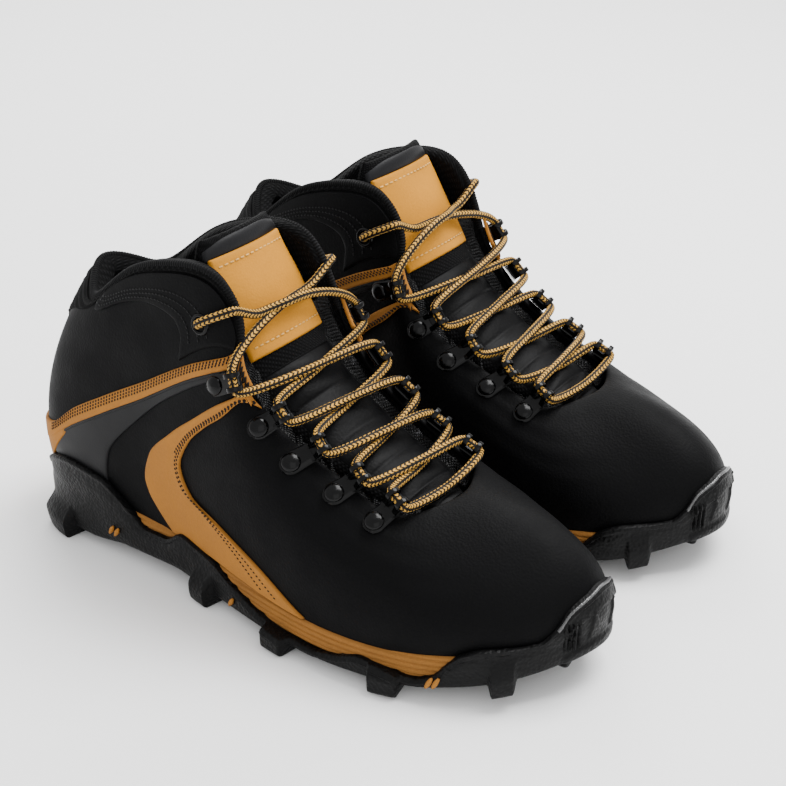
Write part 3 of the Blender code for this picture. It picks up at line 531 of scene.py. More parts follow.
def ribbon(back, front, length, width):
    """(u, v) grid of a strip between two outlines."""
    along = rim_steps(length, 1.6)[:, None]
    across = rim_steps(width, 1.6)[None, :, None]
    grid = between([outline(back)(along), outline(front)(along)], across)
    return grid[..., 0], grid[..., 1]


# Objects.
def world(points, sign):
    points = np.asarray(points, float)
    x = sign * (points[..., 1] - HALF_SPACING)
    return np.stack([x, S_MIDDLE - points[..., 0], points[..., 2]], -1) * MM


def mesh_object(name, points, groups):
    mesh = bpy.data.meshes.new(name)
    mesh.vertices.add(len(points))
    mesh.vertices.foreach_set("co", np.ascontiguousarray(points, np.float32).ravel())
    sizes = np.concatenate([np.full(len(faces), faces.shape[1]) for faces, uv in groups])
    loops = np.concatenate([faces.ravel() for faces, uv in groups])
    mesh.loops.add(len(loops))
    mesh.loops.foreach_set("vertex_index", loops.astype(np.int32))
    mesh.polygons.add(len(sizes))
    mesh.polygons.foreach_set("loop_start", (np.cumsum(sizes) - sizes).astype(np.int32))
    layer = mesh.uv_layers.new(name="UVMap")
    places = np.concatenate([uv.reshape(-1, 2) for faces, uv in groups])
    layer.data.foreach_set("uv", (places * MM).astype(np.float32).ravel())
    mesh.update(calc_edges=True)
    work = bmesh.new()
    work.from_mesh(mesh)
    bmesh.ops.recalc_face_normals(work, faces=work.faces)
    work.to_mesh(mesh)
    work.free()
    mesh.polygons.foreach_set("use_smooth", np.ones(len(sizes), bool))
    made = bpy.data.objects.new(name, mesh)
    bpy.context.collection.objects.link(made)
    return made


def make(name, solids, finish, body="boot", node=None, sharp=None, blend=None):
    """The piece on both boots, in place of the CAD node that has its name or is given.

    blend is (start m, end m), given for what bends between the boot and the tongue; only whether it is given
    is read, and such a piece stays in world place, tied to no body.
    """
    points, groups = joined(solids)
    for boot, sign in (("right", 1.0), ("left", -1.0)):
        made = mesh_object(boot + "_" + name + "_look", world(points, sign), groups)
        made.data.materials.append(finish)
        if sharp:
            made.data.set_sharp_from_angle(angle=math.radians(sharp))
        if blend:
            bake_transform(made)
        else:
            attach(made, boot + "_" + body)
        replaced = boot + "_" + (node or name)
        if replaced in frame["nodes"]:
            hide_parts(replaced)


# Finishes.
def plug(nodes, socket, value):
    """Set a socket to a constant, or join another node's output to it."""
    if isinstance(value, bpy.types.NodeSocket):
        nodes.id_data.links.new(value, socket)
    else:
        socket.default_value = value


class Finish:
    """One material and the few kinds of node that it is made from."""

    def __init__(self, name, roughness=0.6, metallic=0.0, sheen=0.0, specular=0.5):
        self.material = bpy.data.materials.new(name)
        self.material.use_nodes = True
        self.nodes = self.material.node_tree.nodes
        self.shader = self.nodes["Principled BSDF"]
        self.set("Roughness", roughness)
        self.set("Metallic", metallic)
        self.set("Sheen Weight", sheen)
        self.set("Specular IOR Level", specular)
        places = self.nodes.new("ShaderNodeTexCoord")
        self.object, self.uv = places.outputs["Object"], places.outputs["UV"]

    def set(self, name, value):
        plug(self.nodes, self.shader.inputs[name], value)

    def node(self, kind, output, inputs, **settings):
        made = self.nodes.new(kind)
        for key, value in settings.items():
            setattr(made, key, value)
        for key, value in inputs.items():
            plug(self.nodes, made.inputs[key], value)
        return made.outputs[output]

    def noise(self, scale, detail=3.0, rough=0.55):
        return self.node("ShaderNodeTexNoise", "Fac", {
            "Vector": self.object, "Scale": scale, "Detail": detail, "Roughness": rough})

    def cells(self, scale, smoothing):
        return self.node("ShaderNodeTexVoronoi", "Distance", {
            "Vector": self.object, "Scale": scale, "Smoothness": smoothing}, feature="SMOOTH_F1")

    def rows(self, pitch, turn=0.0):
        """Even rows at a pitch in millimetres, drawn on the surface's own UV."""
        turned_uv = self.node("ShaderNodeMapping", "Vector", {
            "Vector": self.uv, "Rotation": (0, 0, math.radians(turn))})
        return self.node("ShaderNodeTexWave", "Fac", {
            "Vector": turned_uv, "Scale": 1.0 / (pitch * MM) / 20 * math.pi * 2},
            wave_type="BANDS", bands_direction="X", wave_profile="SIN")

    def threads(self, pitch, turn):
        return self.math("MULTIPLY", self.rows(pitch, turn), self.rows(pitch, turn + 90.0))

    def math(self, operation, a, b=0.5):
        return self.node("ShaderNodeMath", "Value", {0: a, 1: b}, operation=operation)

    def ramp(self, value, stops):
        """Colours along a value: (place, colour) pairs."""
        made = self.nodes.new("ShaderNodeValToRGB")
        plug(self.nodes, made.inputs["Fac"], value)
        elements = made.color_ramp.elements
        while len(elements) < len(stops):
            elements.new(0.5)
        for element, (place, colour) in zip(elements, stops):
            element.position = place
            element.color = tuple(colour) + (1.0,)
        return made.outputs["Color"]

    def tint(self, value, colour, stops):
        """Base colour along a value: (place, how many times the colour) pairs."""
        self.set("Base Color", self.ramp(value, [(place, scaled(colour, by)) for place, by in stops]))

    def span(self, value, low, high, a=0.0, b=1.0):
        """Value from low..high moved to a..b."""
        return self.node("ShaderNodeMapRange", "Result", {
            "Value": value, "From Min": low, "From Max": high, "To Min": a, "To Max": b})

    def bump(self, height, distance, strength=1.0, onto=None):
        inputs = {"Height": height, "Distance": distance * MM, "Strength": strength}
        if onto is not None:
            inputs["Normal"] = onto
        return self.node("ShaderNodeBump", "Normal", inputs)


def scaled(colour, by):
    return tuple(min(1.0, c * by) for c in colour)


def leather_finish(name, colour, roughness, grain, depth, marks=0.25, specular=0.5):
    """Leather or nubuck: a fine pebble grain, soft creases and cloudy colour."""
    f = Finish(name, roughness, specular=specular)
    cloud = f.noise(45.0, 4.0)
    fleck = f.noise(grain * 0.8, 2.0)
    mixed = f.math("ADD", f.math("MULTIPLY", cloud, 0.65), f.math("MULTIPLY", fleck, 0.35))
    f.tint(mixed, colour, [(0.3, 1 - marks), (0.5, 1), (0.72, 1 + 1.4 * marks)])
    f.set("Roughness", f.span(cloud, 0.3, 0.7, roughness - 0.07, roughness + 0.07))
    fine = f.bump(f.cells(grain, 0.6), depth)
    f.set("Normal", f.bump(f.noise(70.0, 5.0), depth * 3.5, 0.5, fine))
    return f.material


def weave_finish(name, colour, pitch, depth, turn=0.0, specular=0.3):
    """Woven fabric or mesh, drawn along the surface's own millimetres."""
    f = Finish(name, 0.8, sheen=0.012, specular=specular)
    threads = f.threads(pitch, turn)
    cloud = f.noise(160.0, 3.0)
    mixed = f.math("ADD", threads, f.math("MULTIPLY", cloud, 0.35))
    f.tint(mixed, colour, [(0.12, 0.35), (0.45, 1), (0.95, 1.6)])
    f.set("Normal", f.bump(threads, depth, 0.8, f.bump(cloud, depth * 0.8)))
    return f.material


def crinkle_finish(name, colour, painted_highlight_grey, pitch):
    """Dark glazed mesh with painted highlights: bright flecks in its colour where it is crinkled."""
    f = Finish(name, 0.4, specular=0.2)
    threads = f.threads(pitch, 45.0)
    crumple_and_highlight = f.math("MULTIPLY", f.noise(110.0, 5.0, 0.7), f.span(threads, 0.0, 1.0, 0.85, 1.0))
    # Painted highlights: the colour goes from near black to bright grey on the crinkles' peaks.
    f.set("Base Color", f.ramp(crumple_and_highlight, [(0.5, colour), (0.57, scaled(colour, 6)), (0.64, painted_highlight_grey)]))
    f.set("Normal", f.bump(threads, 0.3, 0.8, f.bump(crumple_and_highlight, 1.2)))
    return f.material


def rib_finish(name, colour, pitch, depth, specular):
    """Ribbed fabric: rows at an even pitch."""
    f = Finish(name, 0.75, sheen=0.012, specular=specular)
    rows = f.rows(pitch)
    cloud = f.noise(220.0, 3.0)
    mixed = f.math("ADD", rows, f.math("MULTIPLY", cloud, 0.4))
    f.tint(mixed, colour, [(0.15, 0.4), (0.6, 1), (1.0, 1.7)])
    f.set("Normal", f.bump(rows, depth, 0.9, f.bump(cloud, depth * 0.5)))
    return f.material


def rubber_finish(name, colour):
    f = Finish(name, 0.5, specular=0.12)
    speck, cloud = f.noise(1400.0, 2.0), f.noise(60.0, 4.0)
    f.tint(f.math("MULTIPLY", cloud, speck), colour, [(0.15, 0.7), (0.28, 1), (0.42, 1.9)])
    f.set("Roughness", f.span(cloud, 0.3, 0.7, 0.4, 0.6))
    grain = f.bump(f.cells(620.0, 0.3), 0.35, 1.0)
    f.set("Normal", f.bump(speck, 0.15, 0.8, grain))
    return f.material


def metal_finish(name, colour, roughness, metallic=1.0, specular=0.5):
    f = Finish(name, roughness, metallic=metallic, specular=specular)
    wear, scratch = f.noise(300.0, 4.0), f.noise(2200.0, 2.0)
    f.tint(wear, colour, [(0.35, 0.8), (0.65, 1.25)])
    f.set("Roughness", f.span(wear, 0.3, 0.7, roughness - 0.08, roughness + 0.1))
    f.set("Normal", f.bump(scratch, 0.02, 0.6))
    return f.material


def cord_finish(name, light, dark):
    """Two rows of slanted bars with dark zigzags between, around and along the cord."""
    f = Finish(name, 0.6, sheen=0.02, specular=0.15)
    apart = f.node("ShaderNodeSeparateXYZ", "X", {"Vector": f.uv})
    split = apart.node
    around = f.math("MULTIPLY", split.outputs["Y"], 4.0 / MM)
    fold = f.math("ABSOLUTE", f.math("SUBTRACT", f.math("FRACT", around), 0.5))
    along = f.math("MULTIPLY", split.outputs["X"], 1.0 / (LACE_BAR * MM))
    slanted = f.math("FRACT", f.math("ADD", along, f.math("MULTIPLY", fold, 1.3)))
    middle = f.math("ABSOLUTE", f.math("SUBTRACT", slanted, 0.5))
    bar = f.span(middle, 0.20, 0.34, 1.0, 0.0)
    gap = f.span(fold, 0.24, 0.36, 1.0, 0.0)
    shown = f.math("MULTIPLY", bar, gap)
    fuzz = f.noise(1500.0, 2.0)
    f.set("Base Color", f.ramp(f.math("ADD", shown, f.math("MULTIPLY", fuzz, 0.25)), [
        (0.18, dark), (0.5, scaled(light, 0.6)), (1.0, light)]))
    f.set("Normal", f.bump(f.math("ADD", shown, middle), 0.35, 0.9, f.bump(fuzz, 0.1)))
    return f.material


def plain_finish(name, colour, roughness):
    f = Finish(name, roughness)
    f.tint(f.noise(8.0), colour, [(0.3, 0.995), (0.7, 1)])
    return f.material


NUBUCK = leather_finish("nubuck", (0.0011, 0.0011, 0.0013), 0.60, 900.0, 0.10, specular=0.06)
SATIN = leather_finish("satin_synthetic", (0.0035, 0.0035, 0.0040), 0.45, 1500.0, 0.03, marks=0.12,
                       specular=0.12)
SMOOTH_BLACK = leather_finish("smooth_leather", (0.0010, 0.0010, 0.0012), 0.5, 700.0, 0.08,
                              specular=0.07)
BORDER_GREY = leather_finish("tongue_border", (0.006, 0.006, 0.0068), 0.5, 1200.0, 0.05, specular=0.12)
TAN = leather_finish("tan_nubuck", (0.29, 0.118, 0.019), 0.68, 1000.0, 0.10, marks=0.12,
                     specular=0.12)
# Brighter, warmer copy of TAN for the tongue's patch: its extra brightness is painted light, where the patch
# faces up into the key lamp and the tan of the sides lies in shade.
PATCH_TAN_PAINTED_LIGHT = leather_finish("patch_nubuck_painted_light", (0.42, 0.175, 0.014), 0.7, 1000.0, 0.08, marks=0.08,
                           specular=0.08)
FOAM = leather_finish("tan_foam", (0.22, 0.094, 0.02), 0.8, 1600.0, 0.15, marks=0.15,
                      specular=0.12)
MESH = weave_finish("black_mesh", (0.0018, 0.0018, 0.002), 1.7, 0.45, turn=45.0, specular=0.06)
LINING_MESH = weave_finish("lining_mesh", (0.0018, 0.0018, 0.002), 2.4, 0.5, turn=45.0,
                           specular=0.06)
RIBBED = rib_finish("ribbed_binding", (0.0028, 0.0028, 0.003), 1.35, 0.35, 0.08)
# The gusset mesh's bright flecks are painted highlights.
GUSSET = crinkle_finish("gusset_mesh", (0.0015, 0.0015, 0.0017), (0.16, 0.16, 0.17), 1.2)
RUBBER = rubber_finish("black_rubber", (0.0013, 0.0013, 0.0014))
# Lighter grey than the black rubber: a painted highlight along the toe bumper's edge, on top of real gloss.
POLISHED_RIM_PAINTED_HIGHLIGHT = leather_finish("polished_rubber_with_painted_highlight", (0.03, 0.03, 0.031), 0.3, 1800.0, 0.2,
                                 specular=0.8)
METAL = metal_finish("black_enamel", (0.001, 0.001, 0.0011), 0.16, 0.0, 0.14)
STEEL = metal_finish("spring_steel", (0.55, 0.55, 0.57), 0.32)
CORD = cord_finish("lace_cord", (0.50, 0.27, 0.045), (0.002, 0.0015, 0.001))
DARK_THREAD = leather_finish("dark_thread", (0.006, 0.004, 0.003), 0.6, 2500.0, 0.05, specular=0.15)
BLACK_THREAD = leather_finish("black_thread", (0.003, 0.003, 0.0033), 0.5, 2500.0, 0.05,
                              specular=0.15)
LIGHT_THREAD = leather_finish("light_thread", (0.50, 0.27, 0.06), 0.6, 2500.0, 0.05)
BOARD = leather_finish("fibre_board", (0.40, 0.32, 0.20), 0.85, 500.0, 0.2)
STIFFENER = leather_finish("stiffener", (0.26, 0.26, 0.24), 0.8, 600.0, 0.1)
FOOTBED_CLOTH = weave_finish("footbed_cloth", (0.02, 0.02, 0.022), 1.6, 0.4)
FLOOR = plain_finish("floor", (0.93, 0.93, 0.93), 0.9)


# Upper.
def quarter(side):
    """Rear panel, from the heel's middle to the seam."""
    v = rim_steps(120, 2.6)[None, :]
    end = smooth(SEAM)(v) - 0.012
    u = 0.004 + (end - 0.004) * np.linspace(0, 1, 90)[:, None]
    grid = panel(mirrored(u, side), v, -UPPER, UPPER, 1.4, (0, 1, 0, 1))
    make("quarter_" + side, [grid], NUBUCK)


def vamp():
    v = rim_steps(120, 2.6)[None, :]
    start = smooth(SEAM)(v) - 0.05
    u = start + (AROUND - 2 * start) * np.linspace(0, 1, 170)[:, None]
    at_toes = window(np.abs(u - TOE_U) - 3.2, 0.8, 1.2)
    crease = 0.16 * np.sin(v * 34 + 0.6 * np.sin(u * 2.1)) * at_toes
    crease = crease * window(v - 0.62, 0.14, 0.2)
    grid = panel(u, v, -UPPER, UPPER, 1.4, (1, 1, 0, 1), crease)
    make("vamp", [grid], NUBUCK)


def stitch_rows(name, side, rows, stitch, thread):
    """Rows of stitches along outlines of (u, v) points."""
    height, steps, *size = stitch
    lines = [form_line(row, height, side, steps) for row in rows]
    make(name + side, [stitched(line, *size) for line in lines], thread)


def stripe(side):
    """Tan band from the heel's middle to the throat, with a dark rim and three rows of stitches."""
    u = 0.005 + (STRIPE_LOW[-1][0] - 0.005) * rim_steps(190, 1.6)[:, None]
    low, high = smooth(STRIPE_LOW)(u), smooth(STRIPE_HIGH)(u)
    v = low + (high - low) * rim_steps(13, 1.1)[None, :]
    body = panel(mirrored(u, side), v, 0.3, 1.3, 1.0, (0, 1, 1, 1))
    make("stripe_" + side, [body], TAN)
    rim = [(a, smooth(STRIPE_LOW)(a) - 0.004) for a in np.linspace(2.1, 5.9, 60)]
    line = form_line(rim, 0.5, side, 260)[:, :3]
    make("stripe_rim_" + side, [tube(line, 0.9, 8)], BLACK_THREAD)
    at = np.linspace(1.75, 6.1, 50)
    edges = [np.stack([at, smooth(edge)(at)], -1) for edge in (STRIPE_LOW, STRIPE_HIGH)]
    rows = [between(edges, across) for across in (0.50, 0.68, 0.86)]
    stitch_rows("stripe_stitches_", side, rows, STRIPE_STITCH, DARK_THREAD)


def heel_panel():
    """Tan leather at the heel's back, from the stripes down to the rubber."""
    u = HEEL_PANEL_LOW[-1][0] * np.linspace(-1, 1, 110)[:, None]
    low = smooth(HEEL_PANEL_LOW)(np.abs(u))
    v = low + rim_steps(45, 2.0)[None, :] * (smooth(STRIPE_LOW)(np.abs(u)) + 0.015 - low)
    body = panel(u % AROUND, v, 0.3, 1.1, 1.0, (1, 1, 1, 0))
    make("heel_panel", [body], TAN)


def swoosh(side):
    u, v = ribbon(SWOOSH_BACK, SWOOSH_FRONT, 150, 24)
    body = panel(mirrored(u, side), v, 0.3, 1.3, 1.0)
    make("swoosh_" + side, [body], TAN)
    rows = []
    for across, first in ((0.88, 0.03), (0.77, 0.03), (0.66, 0.42)):
        at = np.linspace(first, 0.97, 60)
        rows.append(between([outline(SWOOSH_BACK)(at), outline(SWOOSH_FRONT)(at)], across))
    stitch_rows("swoosh_stitches_", side, rows, SWOOSH_STITCH, DARK_THREAD)


def eyestay_tab(side):
    """Small tan tab with a zigzag stitch, on the throat edge beside the first loop."""
    def place(along, across):
        u = mirrored(TAB_START[0] + TAB_SIZE[0] * along, side)
        return u, TAB_START[1] + TAB_SIZE[1] * across + 0.01 * along

    u, v = place(rim_steps(19, 1.0)[:, None], rim_steps(9, 1.0)[None, :])
    make("tab_" + side, [panel(u, v, 1.2, 1.2, 1.0)], TAN)
    step = np.linspace(0, 10, 121)
    swing = np.where(np.arange(11) % 2, 0.3, 0.7)
    u, v = place(0.08 + 0.084 * step, np.interp(step, np.arange(11), swing))
    make("tab_stitch_" + side, [tube(skin(u, v, 2.55), 0.4, 6)], DARK_THREAD)


def satin_panel(side):
    """Smooth panel between the stripe and the embossed curve, standing just above the nubuck."""
    t = rim_steps(120, 1.8)
    front = outline(SATIN_EDGE)(t)
    low_u = np.minimum(front[:, 0] * 0.985, 5.95) * (1 - 0.55 * (1 - t) ** 1.5)
    back = np.stack([low_u, smooth(STRIPE_LOW)(low_u) + 0.02], -1)
    grid = between([back[:, None], front[:, None]], rim_steps(30, 1.8)[None, :, None])
    body = panel(mirrored(grid[..., 0], side), grid[..., 1], 0.0, 0.9, 1.6, (0, 1, 0, 1))
    make("satin_" + side, [body], SATIN)


def ankle_overlay(side):
    u, v = ribbon(ANKLE_EDGE, ANKLE_TOP, 130, 22)
    body = panel(mirrored(u, side), v, 0.0, 1.5, 2.2, (1, 1, 1, 0))
    make("ankle_overlay_" + side, [body], NUBUCK)
    at = np.linspace(0.08, 0.93, 60)
    edges = outline(ANKLE_EDGE)(at), outline(ANKLE_TOP)(at)
    rows = [between(edges, across) for across in (0.16, 0.30, 0.44)]
    stitch_rows("ankle_stitches_", side, rows, ANKLE_STITCH, BLACK_THREAD)


def achilles():
    """Stretch mesh in a V above the heel, from side to side."""
    u = ACHILLES_EDGE[-1][0] * np.linspace(-1, 1, 60)[:, None]
    low = smooth(ACHILLES_EDGE)(np.abs(u))
    v = low + (0.955 - low) * rim_steps(35, 1.8)[None, :]
    body = panel(u % AROUND, v, 0.1, 0.9, 1.4, (1, 1, 1, 0), 0.35 * np.sin(v * 150))
    make("achilles_mesh", [body], MESH)


def rear_share(u):
    """1 around the ankle, falling to 0 towards the throat."""
    from_heel = np.minimum(u % AROUND, AROUND - u % AROUND)
    return smooth([(0, 1), (3.6, 1), (5.4, 0.05), (7, 0), (TOE_U, 0)])(from_heel)


def collar():
    """Padded collar: up over a rolled rim and down the inside to the footbed."""
    rows, rim, down = 300, 13, 34
    u = np.linspace(0, AROUND, rows, endpoint=False)[:, None]
    from_heel = np.minimum(u, AROUND - u)
    rear = rear_share(u)
    lobe = smooth([(0, 1), (7.0, 1), (8.5, 0), (TOE_U, 0)])(from_heel)
    pad = COLLAR_PAD * rear + LOBE_PAD * lobe * (1 - rear) + 2.6 * (1 - lobe)
    roll = np.radians(np.linspace(0, 180, rim))[None, :]
    rim_in = pad / 2 * (1 - np.cos(roll)) + 1.0 - 1.2 * lobe
    inner_v = np.linspace(0.975, 0.05, down)[None, :]
    puff = smooth([(0.05, 0), (0.45, 0.1), (0.62, 0.85), (0.8, 1.15), (0.93, 1.05), (1, 0.95)])(inner_v)
    depth = LINING + (pad - LINING) * lobe * puff * np.where(rear > 0.3, 1, 0.8)
    depth = np.maximum(depth, np.minimum(LINING, pad))
    v = np.concatenate([np.full((rows, rim), 0.985), np.broadcast_to(inner_v, (rows, down))], 1)
    points = skin(u, v, np.concatenate([-rim_in, -depth], 1))
    points[:, :rim, 2] += 2.9 * lobe * np.sin(roll)
    normal = form_normal(u, v)
    wrinkle = 0.35 * np.sin(3.1 * u) * np.sin(2.3 * points[:, rim:, 2] / 9)
    points[:, rim:] += normal[:, rim:] * (wrinkle * lobe)[..., None]
    backing = points + normal * np.where(np.arange(rim + down) < rim, 0.5, 1.2)[:, None]
    backing[:, :rim, 2] -= 1.6
    body = slab(points, backing, measured(points, True), around=True)
    make("collar", [body], LINING_MESH, node="collar_lining")


def collar_binding():
    """Ribbed roll along the topline and down the front edge of each lobe."""
    u = np.linspace(-6.9, 6.9, 1400)
    lobe = smooth([(0, 1), (6.2, 1), (6.9, 0.3)])(np.abs(u))
    base = skin(u % AROUND, 0.985, -1.5)
    base[:, 2] += 1.3 * lobe
    radius = 1.1 + 0.6 * lobe
    ribs = 0.14 * np.sin(spans(base[:, None], 0)[:, 0] / 1.35 * 2 * math.pi)
    make("collar_binding", [tube(base, radius + ribs, 16)], RIBBED)


# Tongue.
def tongue_frame(at):
    """Middle of the tongue's outer surface, and its outward direction, in (s, z)."""
    line = round_path(TONGUE_LINE)
    at = np.asarray(at, float)
    ahead = unit(line(np.minimum(at + 0.05, len(TONGUE_LINE) - 1)) - line(np.maximum(at - 0.05, 0)))
    return line(at), np.stack([ahead[..., 1], -ahead[..., 0]], -1)


def tongue_size(values, at):
    return smooth(list(enumerate(values)))(at)


def tongue_point(at, b, out):
    """Point of the tongue: at along it, b = -1..1 across it, out from its face."""
    at, b, out = np.broadcast_arrays(np.asarray(at, float), np.asarray(b, float), out)
    half, arch = tongue_size(TONGUE_HALF, at), tongue_size(TONGUE_ARCH, at)
    middle, outward = tongue_frame(at)
    s, z = np.moveaxis(middle + outward * (out - arch * b * b)[..., None], -1, 0)
    return np.stack([s, half * b, z], -1)


def tongue_patch_of(at, b, out, under):
    """Piece of the tongue's face between two heights."""
    top, back = tongue_point(at, b, out), tongue_point(at, b, under)
    return slab(top, back, measured(top))


def tongue():
    """Padded body of the tongue, rounded at its edges."""
    last = len(TONGUE_LINE) - 1
    at = last * rim_steps(170, 1.8, 4.0)[:, None]
    b = (2 * rim_steps(52, 1.6, 4.0) - 1)[None, :]
    thick = tongue_size(TONGUE_THICK, at)
    end = np.clip(np.minimum(at, last - at) / 0.35, 0, 1)
    side = np.clip((1 - np.abs(b)) / 0.16, 0, 1)
    full = np.sqrt(1 - (1 - np.minimum(end, side)) ** 2)
    pillow = 0.5 * np.sin(at * 2 * math.pi) * window(b, 0.5, 0.5) * window(at - 3, 2.2, 1.0)
    front = -0.5 * thick + (0.5 * thick + pillow) * full
    back = -0.5 * thick - 0.5 * thick * full
    make("tongue", [tongue_patch_of(at, b, front, back)], MESH, "tongue")


def tongue_border():
    """Smooth roll across the tongue's top."""
    reach = rim_steps(12, 0.9, 1.0)[:, None]
    across = np.linspace(-0.97, 0.97, 48)[None, :]
    swell = 1.3 * np.abs(np.sin(np.pi * reach)) ** 0.5 * (1 - across ** 10)
    bow = BORDER_LOW + (BORDER_HIGH - BORDER_LOW - 0.35 * across ** 4) * reach
    border = tongue_patch_of(bow, across, swell - 0.4, -2.0)
    make("tongue_border", [border], BORDER_GREY, "tongue")


def tongue_leather():
    """Quilted leather down the tongue's face."""
    at = QUILT_LOW + (QUILT_HIGH - QUILT_LOW) * rim_steps(120, 0.9, 1.6)[:, None]
    b = (QUILT_HALF * (2 * rim_steps(40, 1.2, 2.0) - 1))[None, :]
    fold = np.abs(np.sin(at * math.pi)) ** 0.35
    rim = np.sqrt(np.clip(1 - (b / QUILT_HALF) ** 6, 0, 1))
    swell = (0.5 + 1.3 * fold + 0.25 * np.sin(at * 9 + 3 * b)) * rim - 0.5
    leather = tongue_patch_of(at, b, swell, -2.0)
    make("tongue_leather", [leather], SMOOTH_BLACK, "tongue")


def tongue_tab():
    """The stitched tan patch."""
    at = PATCH_LOW + (PATCH_HIGH - PATCH_LOW) * rim_steps(48, 1.4, 1.0)[:, None]
    b = (PATCH_HALF * (2 * rim_steps(46, 1.4, 1.0) - 1))[None, :]
    t = (at - PATCH_LOW) / (PATCH_HIGH - PATCH_LOW)
    rim = np.clip(np.minimum(np.minimum(t, 1 - t) / 0.03, (PATCH_HALF - np.abs(b)) / 0.05), 0, 1)
    rise = 0.2 + 1.4 * np.sqrt(1 - (1 - rim) ** 2) + 0.25 * np.sin(5 * b) * np.sin(3 * t * math.pi)
    body = tongue_patch_of(at, b, rise, -1.0)
    # The patch's finish is brighter than the tan elsewhere: painted light.
    make("tongue_patch", [body], PATCH_TAN_PAINTED_LIGHT, "tongue")
    rows = []
    across = 0.84 * np.linspace(-1, 1, 60)
    for place in (PATCH_HIGH - 0.28, PATCH_LOW + 0.3):
        line = tongue_point(np.full(60, place), across, 1.75)
        ahead = np.gradient(line, axis=0)
        down = tongue_point(np.full(60, place - 0.1), across, 1.75) - line
        rows.append(stitched(np.concatenate([line, unit(np.cross(ahead, down))], -1), 2.9, 2.0, 0.42))
    make("patch_stitches", rows, LIGHT_THREAD, "tongue")


def gusset(side):
    """Crinkled mesh bellows between the throat edge and the tongue."""
    sign = SIGNS[side]
    t = np.linspace(0, 1, 130)[:, None]
    u = mirrored(np.linspace(*GUSSET_U, 130), side)
    edge = skin(u, 0.93, -UPPER - 2.6)
    down = np.linspace(9, 0, 200)
    at = np.interp(edge[:, 0], tongue_frame(down)[0][:, 0], down)
    inner = tongue_point(at, 0.8 * sign, -1.4)
    across = np.linspace(0, 1, 18)[None, :]
    sheet = between([edge[:, None], inner[:, None]], across[..., None])
    fold = 1.3 * np.sin(across * 3 * math.pi) - 2.2 * np.sin(across * math.pi)
    crinkle = 0.9 * np.sin(t * 95 + 5 * across) * np.sin(t * 37 + 1.0)
    sheet[..., 2] += fold + crinkle * np.sin(across * math.pi)
    body = slab(sheet, sheet - (0, 0, 0.7), measured(sheet))
    blend = [sign * place for place in GUSSET_BLEND]
    make("gusset_" + side, [body], GUSSET, blend=blend)


# Lacing.
def loop_frame(number, side):
    """Origin on the leather and axes of a lace loop: towards the ring, through it, outwards."""
    (u, v), (s, m, z) = LOOPS[number]
    foot = skin(mirrored(u, side), v, 0.3)
    up = form_normal(mirrored(u, side), v)
    reach = np.array([s, SIGNS[side] * m, z]) - foot
    reach -= up * reach.dot(up)
    length = np.linalg.norm(reach)
    ahead = reach / length
    return foot, ahead, np.cross(up, ahead), up, length


def strap(path, halves, thick, shift=0.0):
    """Bent sheet along a side view path of (ahead, up), with its half width at each point."""
    path = np.array(path, float)
    ahead = unit(np.gradient(path, axis=0))
    normal = np.stack([-ahead[:, 1], ahead[:, 0]], -1)
    across = np.array([-1, -0.9, -0.5, 0, 0.5, 0.9, 1])
    sink = 0.45 * thick * np.array([1, 0.25, 0, 0, 0, 0.25, 1])
    y = shift + np.broadcast_to(halves, len(path))[:, None] * across

    def face(height):
        spot = path[:, None] + normal[:, None] * height[None, :, None]
        return np.stack([spot[..., 0], y, spot[..., 1]], -1)

    outer, inner = face(thick / 2 - sink), face(-thick / 2 + sink)
    return slab(outer, inner, measured(outer))


def lace_loop(side, number):
    foot, ahead, through, up, length = loop_frame(number, side)
    axes = np.array([ahead, through, up])
    x = np.linspace(-RIVET_R - 0.9, length - 2.2, 26)
    round_end = np.sqrt(np.clip(1 - np.clip(-x / (RIVET_R + 1.0), 0, 1) ** 2, 0.02, 1))
    halves = (RIVET_R + 0.6) * round_end * np.interp(x, [0, length - 4], [1, 0.86])
    low = strap(np.stack([x, np.full_like(x, 0.55)], -1), halves, LOOP_PLATE)
    top_x = x[x < length - RING_R - 1.2]
    high = strap(np.stack([top_x, 1.55 + 0.02 * top_x], -1), halves[:len(top_x)] * 0.97, LOOP_PLATE)
    turns = np.radians(np.linspace(-100, 165, 24))
    nose = np.stack([length + RING_R * np.cos(turns), RING_RISE + RING_R * np.sin(turns)], -1)
    front = [(length - 5.5, 0.7), (length - 3.0, 0.9)]
    back = [(length - RING_R - 1.3, 2.4), (length - RING_R - 3.0, 1.6)]
    path = np.concatenate([front, nose, back])
    half, thick, place = LOOP_BAND
    bands = [strap(path, half, thick, shift) for shift in (-place, place)]
    rib = strap(path[:9], 3.6, LOOP_PLATE)
    profile = [(0, 1.6), (RIVET_R * 0.98, 1.6), (RIVET_R, 2.3), (RIVET_R * 0.92, 2.9),
               (RIVET_R * 0.72, 3.5), (RIVET_R * 0.4, 3.95), (0.01, 4.1)]
    local = joined([low, high, rib] + bands)
    rivet = turned(profile, 28, foot, axes)
    body = (foot + local[0] @ axes, local[1])
    name = "loop_%s_%d" % (side, number + 1)
    make(name, [body, rivet], METAL, sharp=40)


def eyelet_frame(side):
    u, v = mirrored(EYELET_UV[0], side), EYELET_UV[1]
    up = form_normal(u, v)
    ahead = unit(np.cross(up, (0, 0, 1.0)))
    return form(u, v), np.array([ahead, np.cross(up, ahead), up])


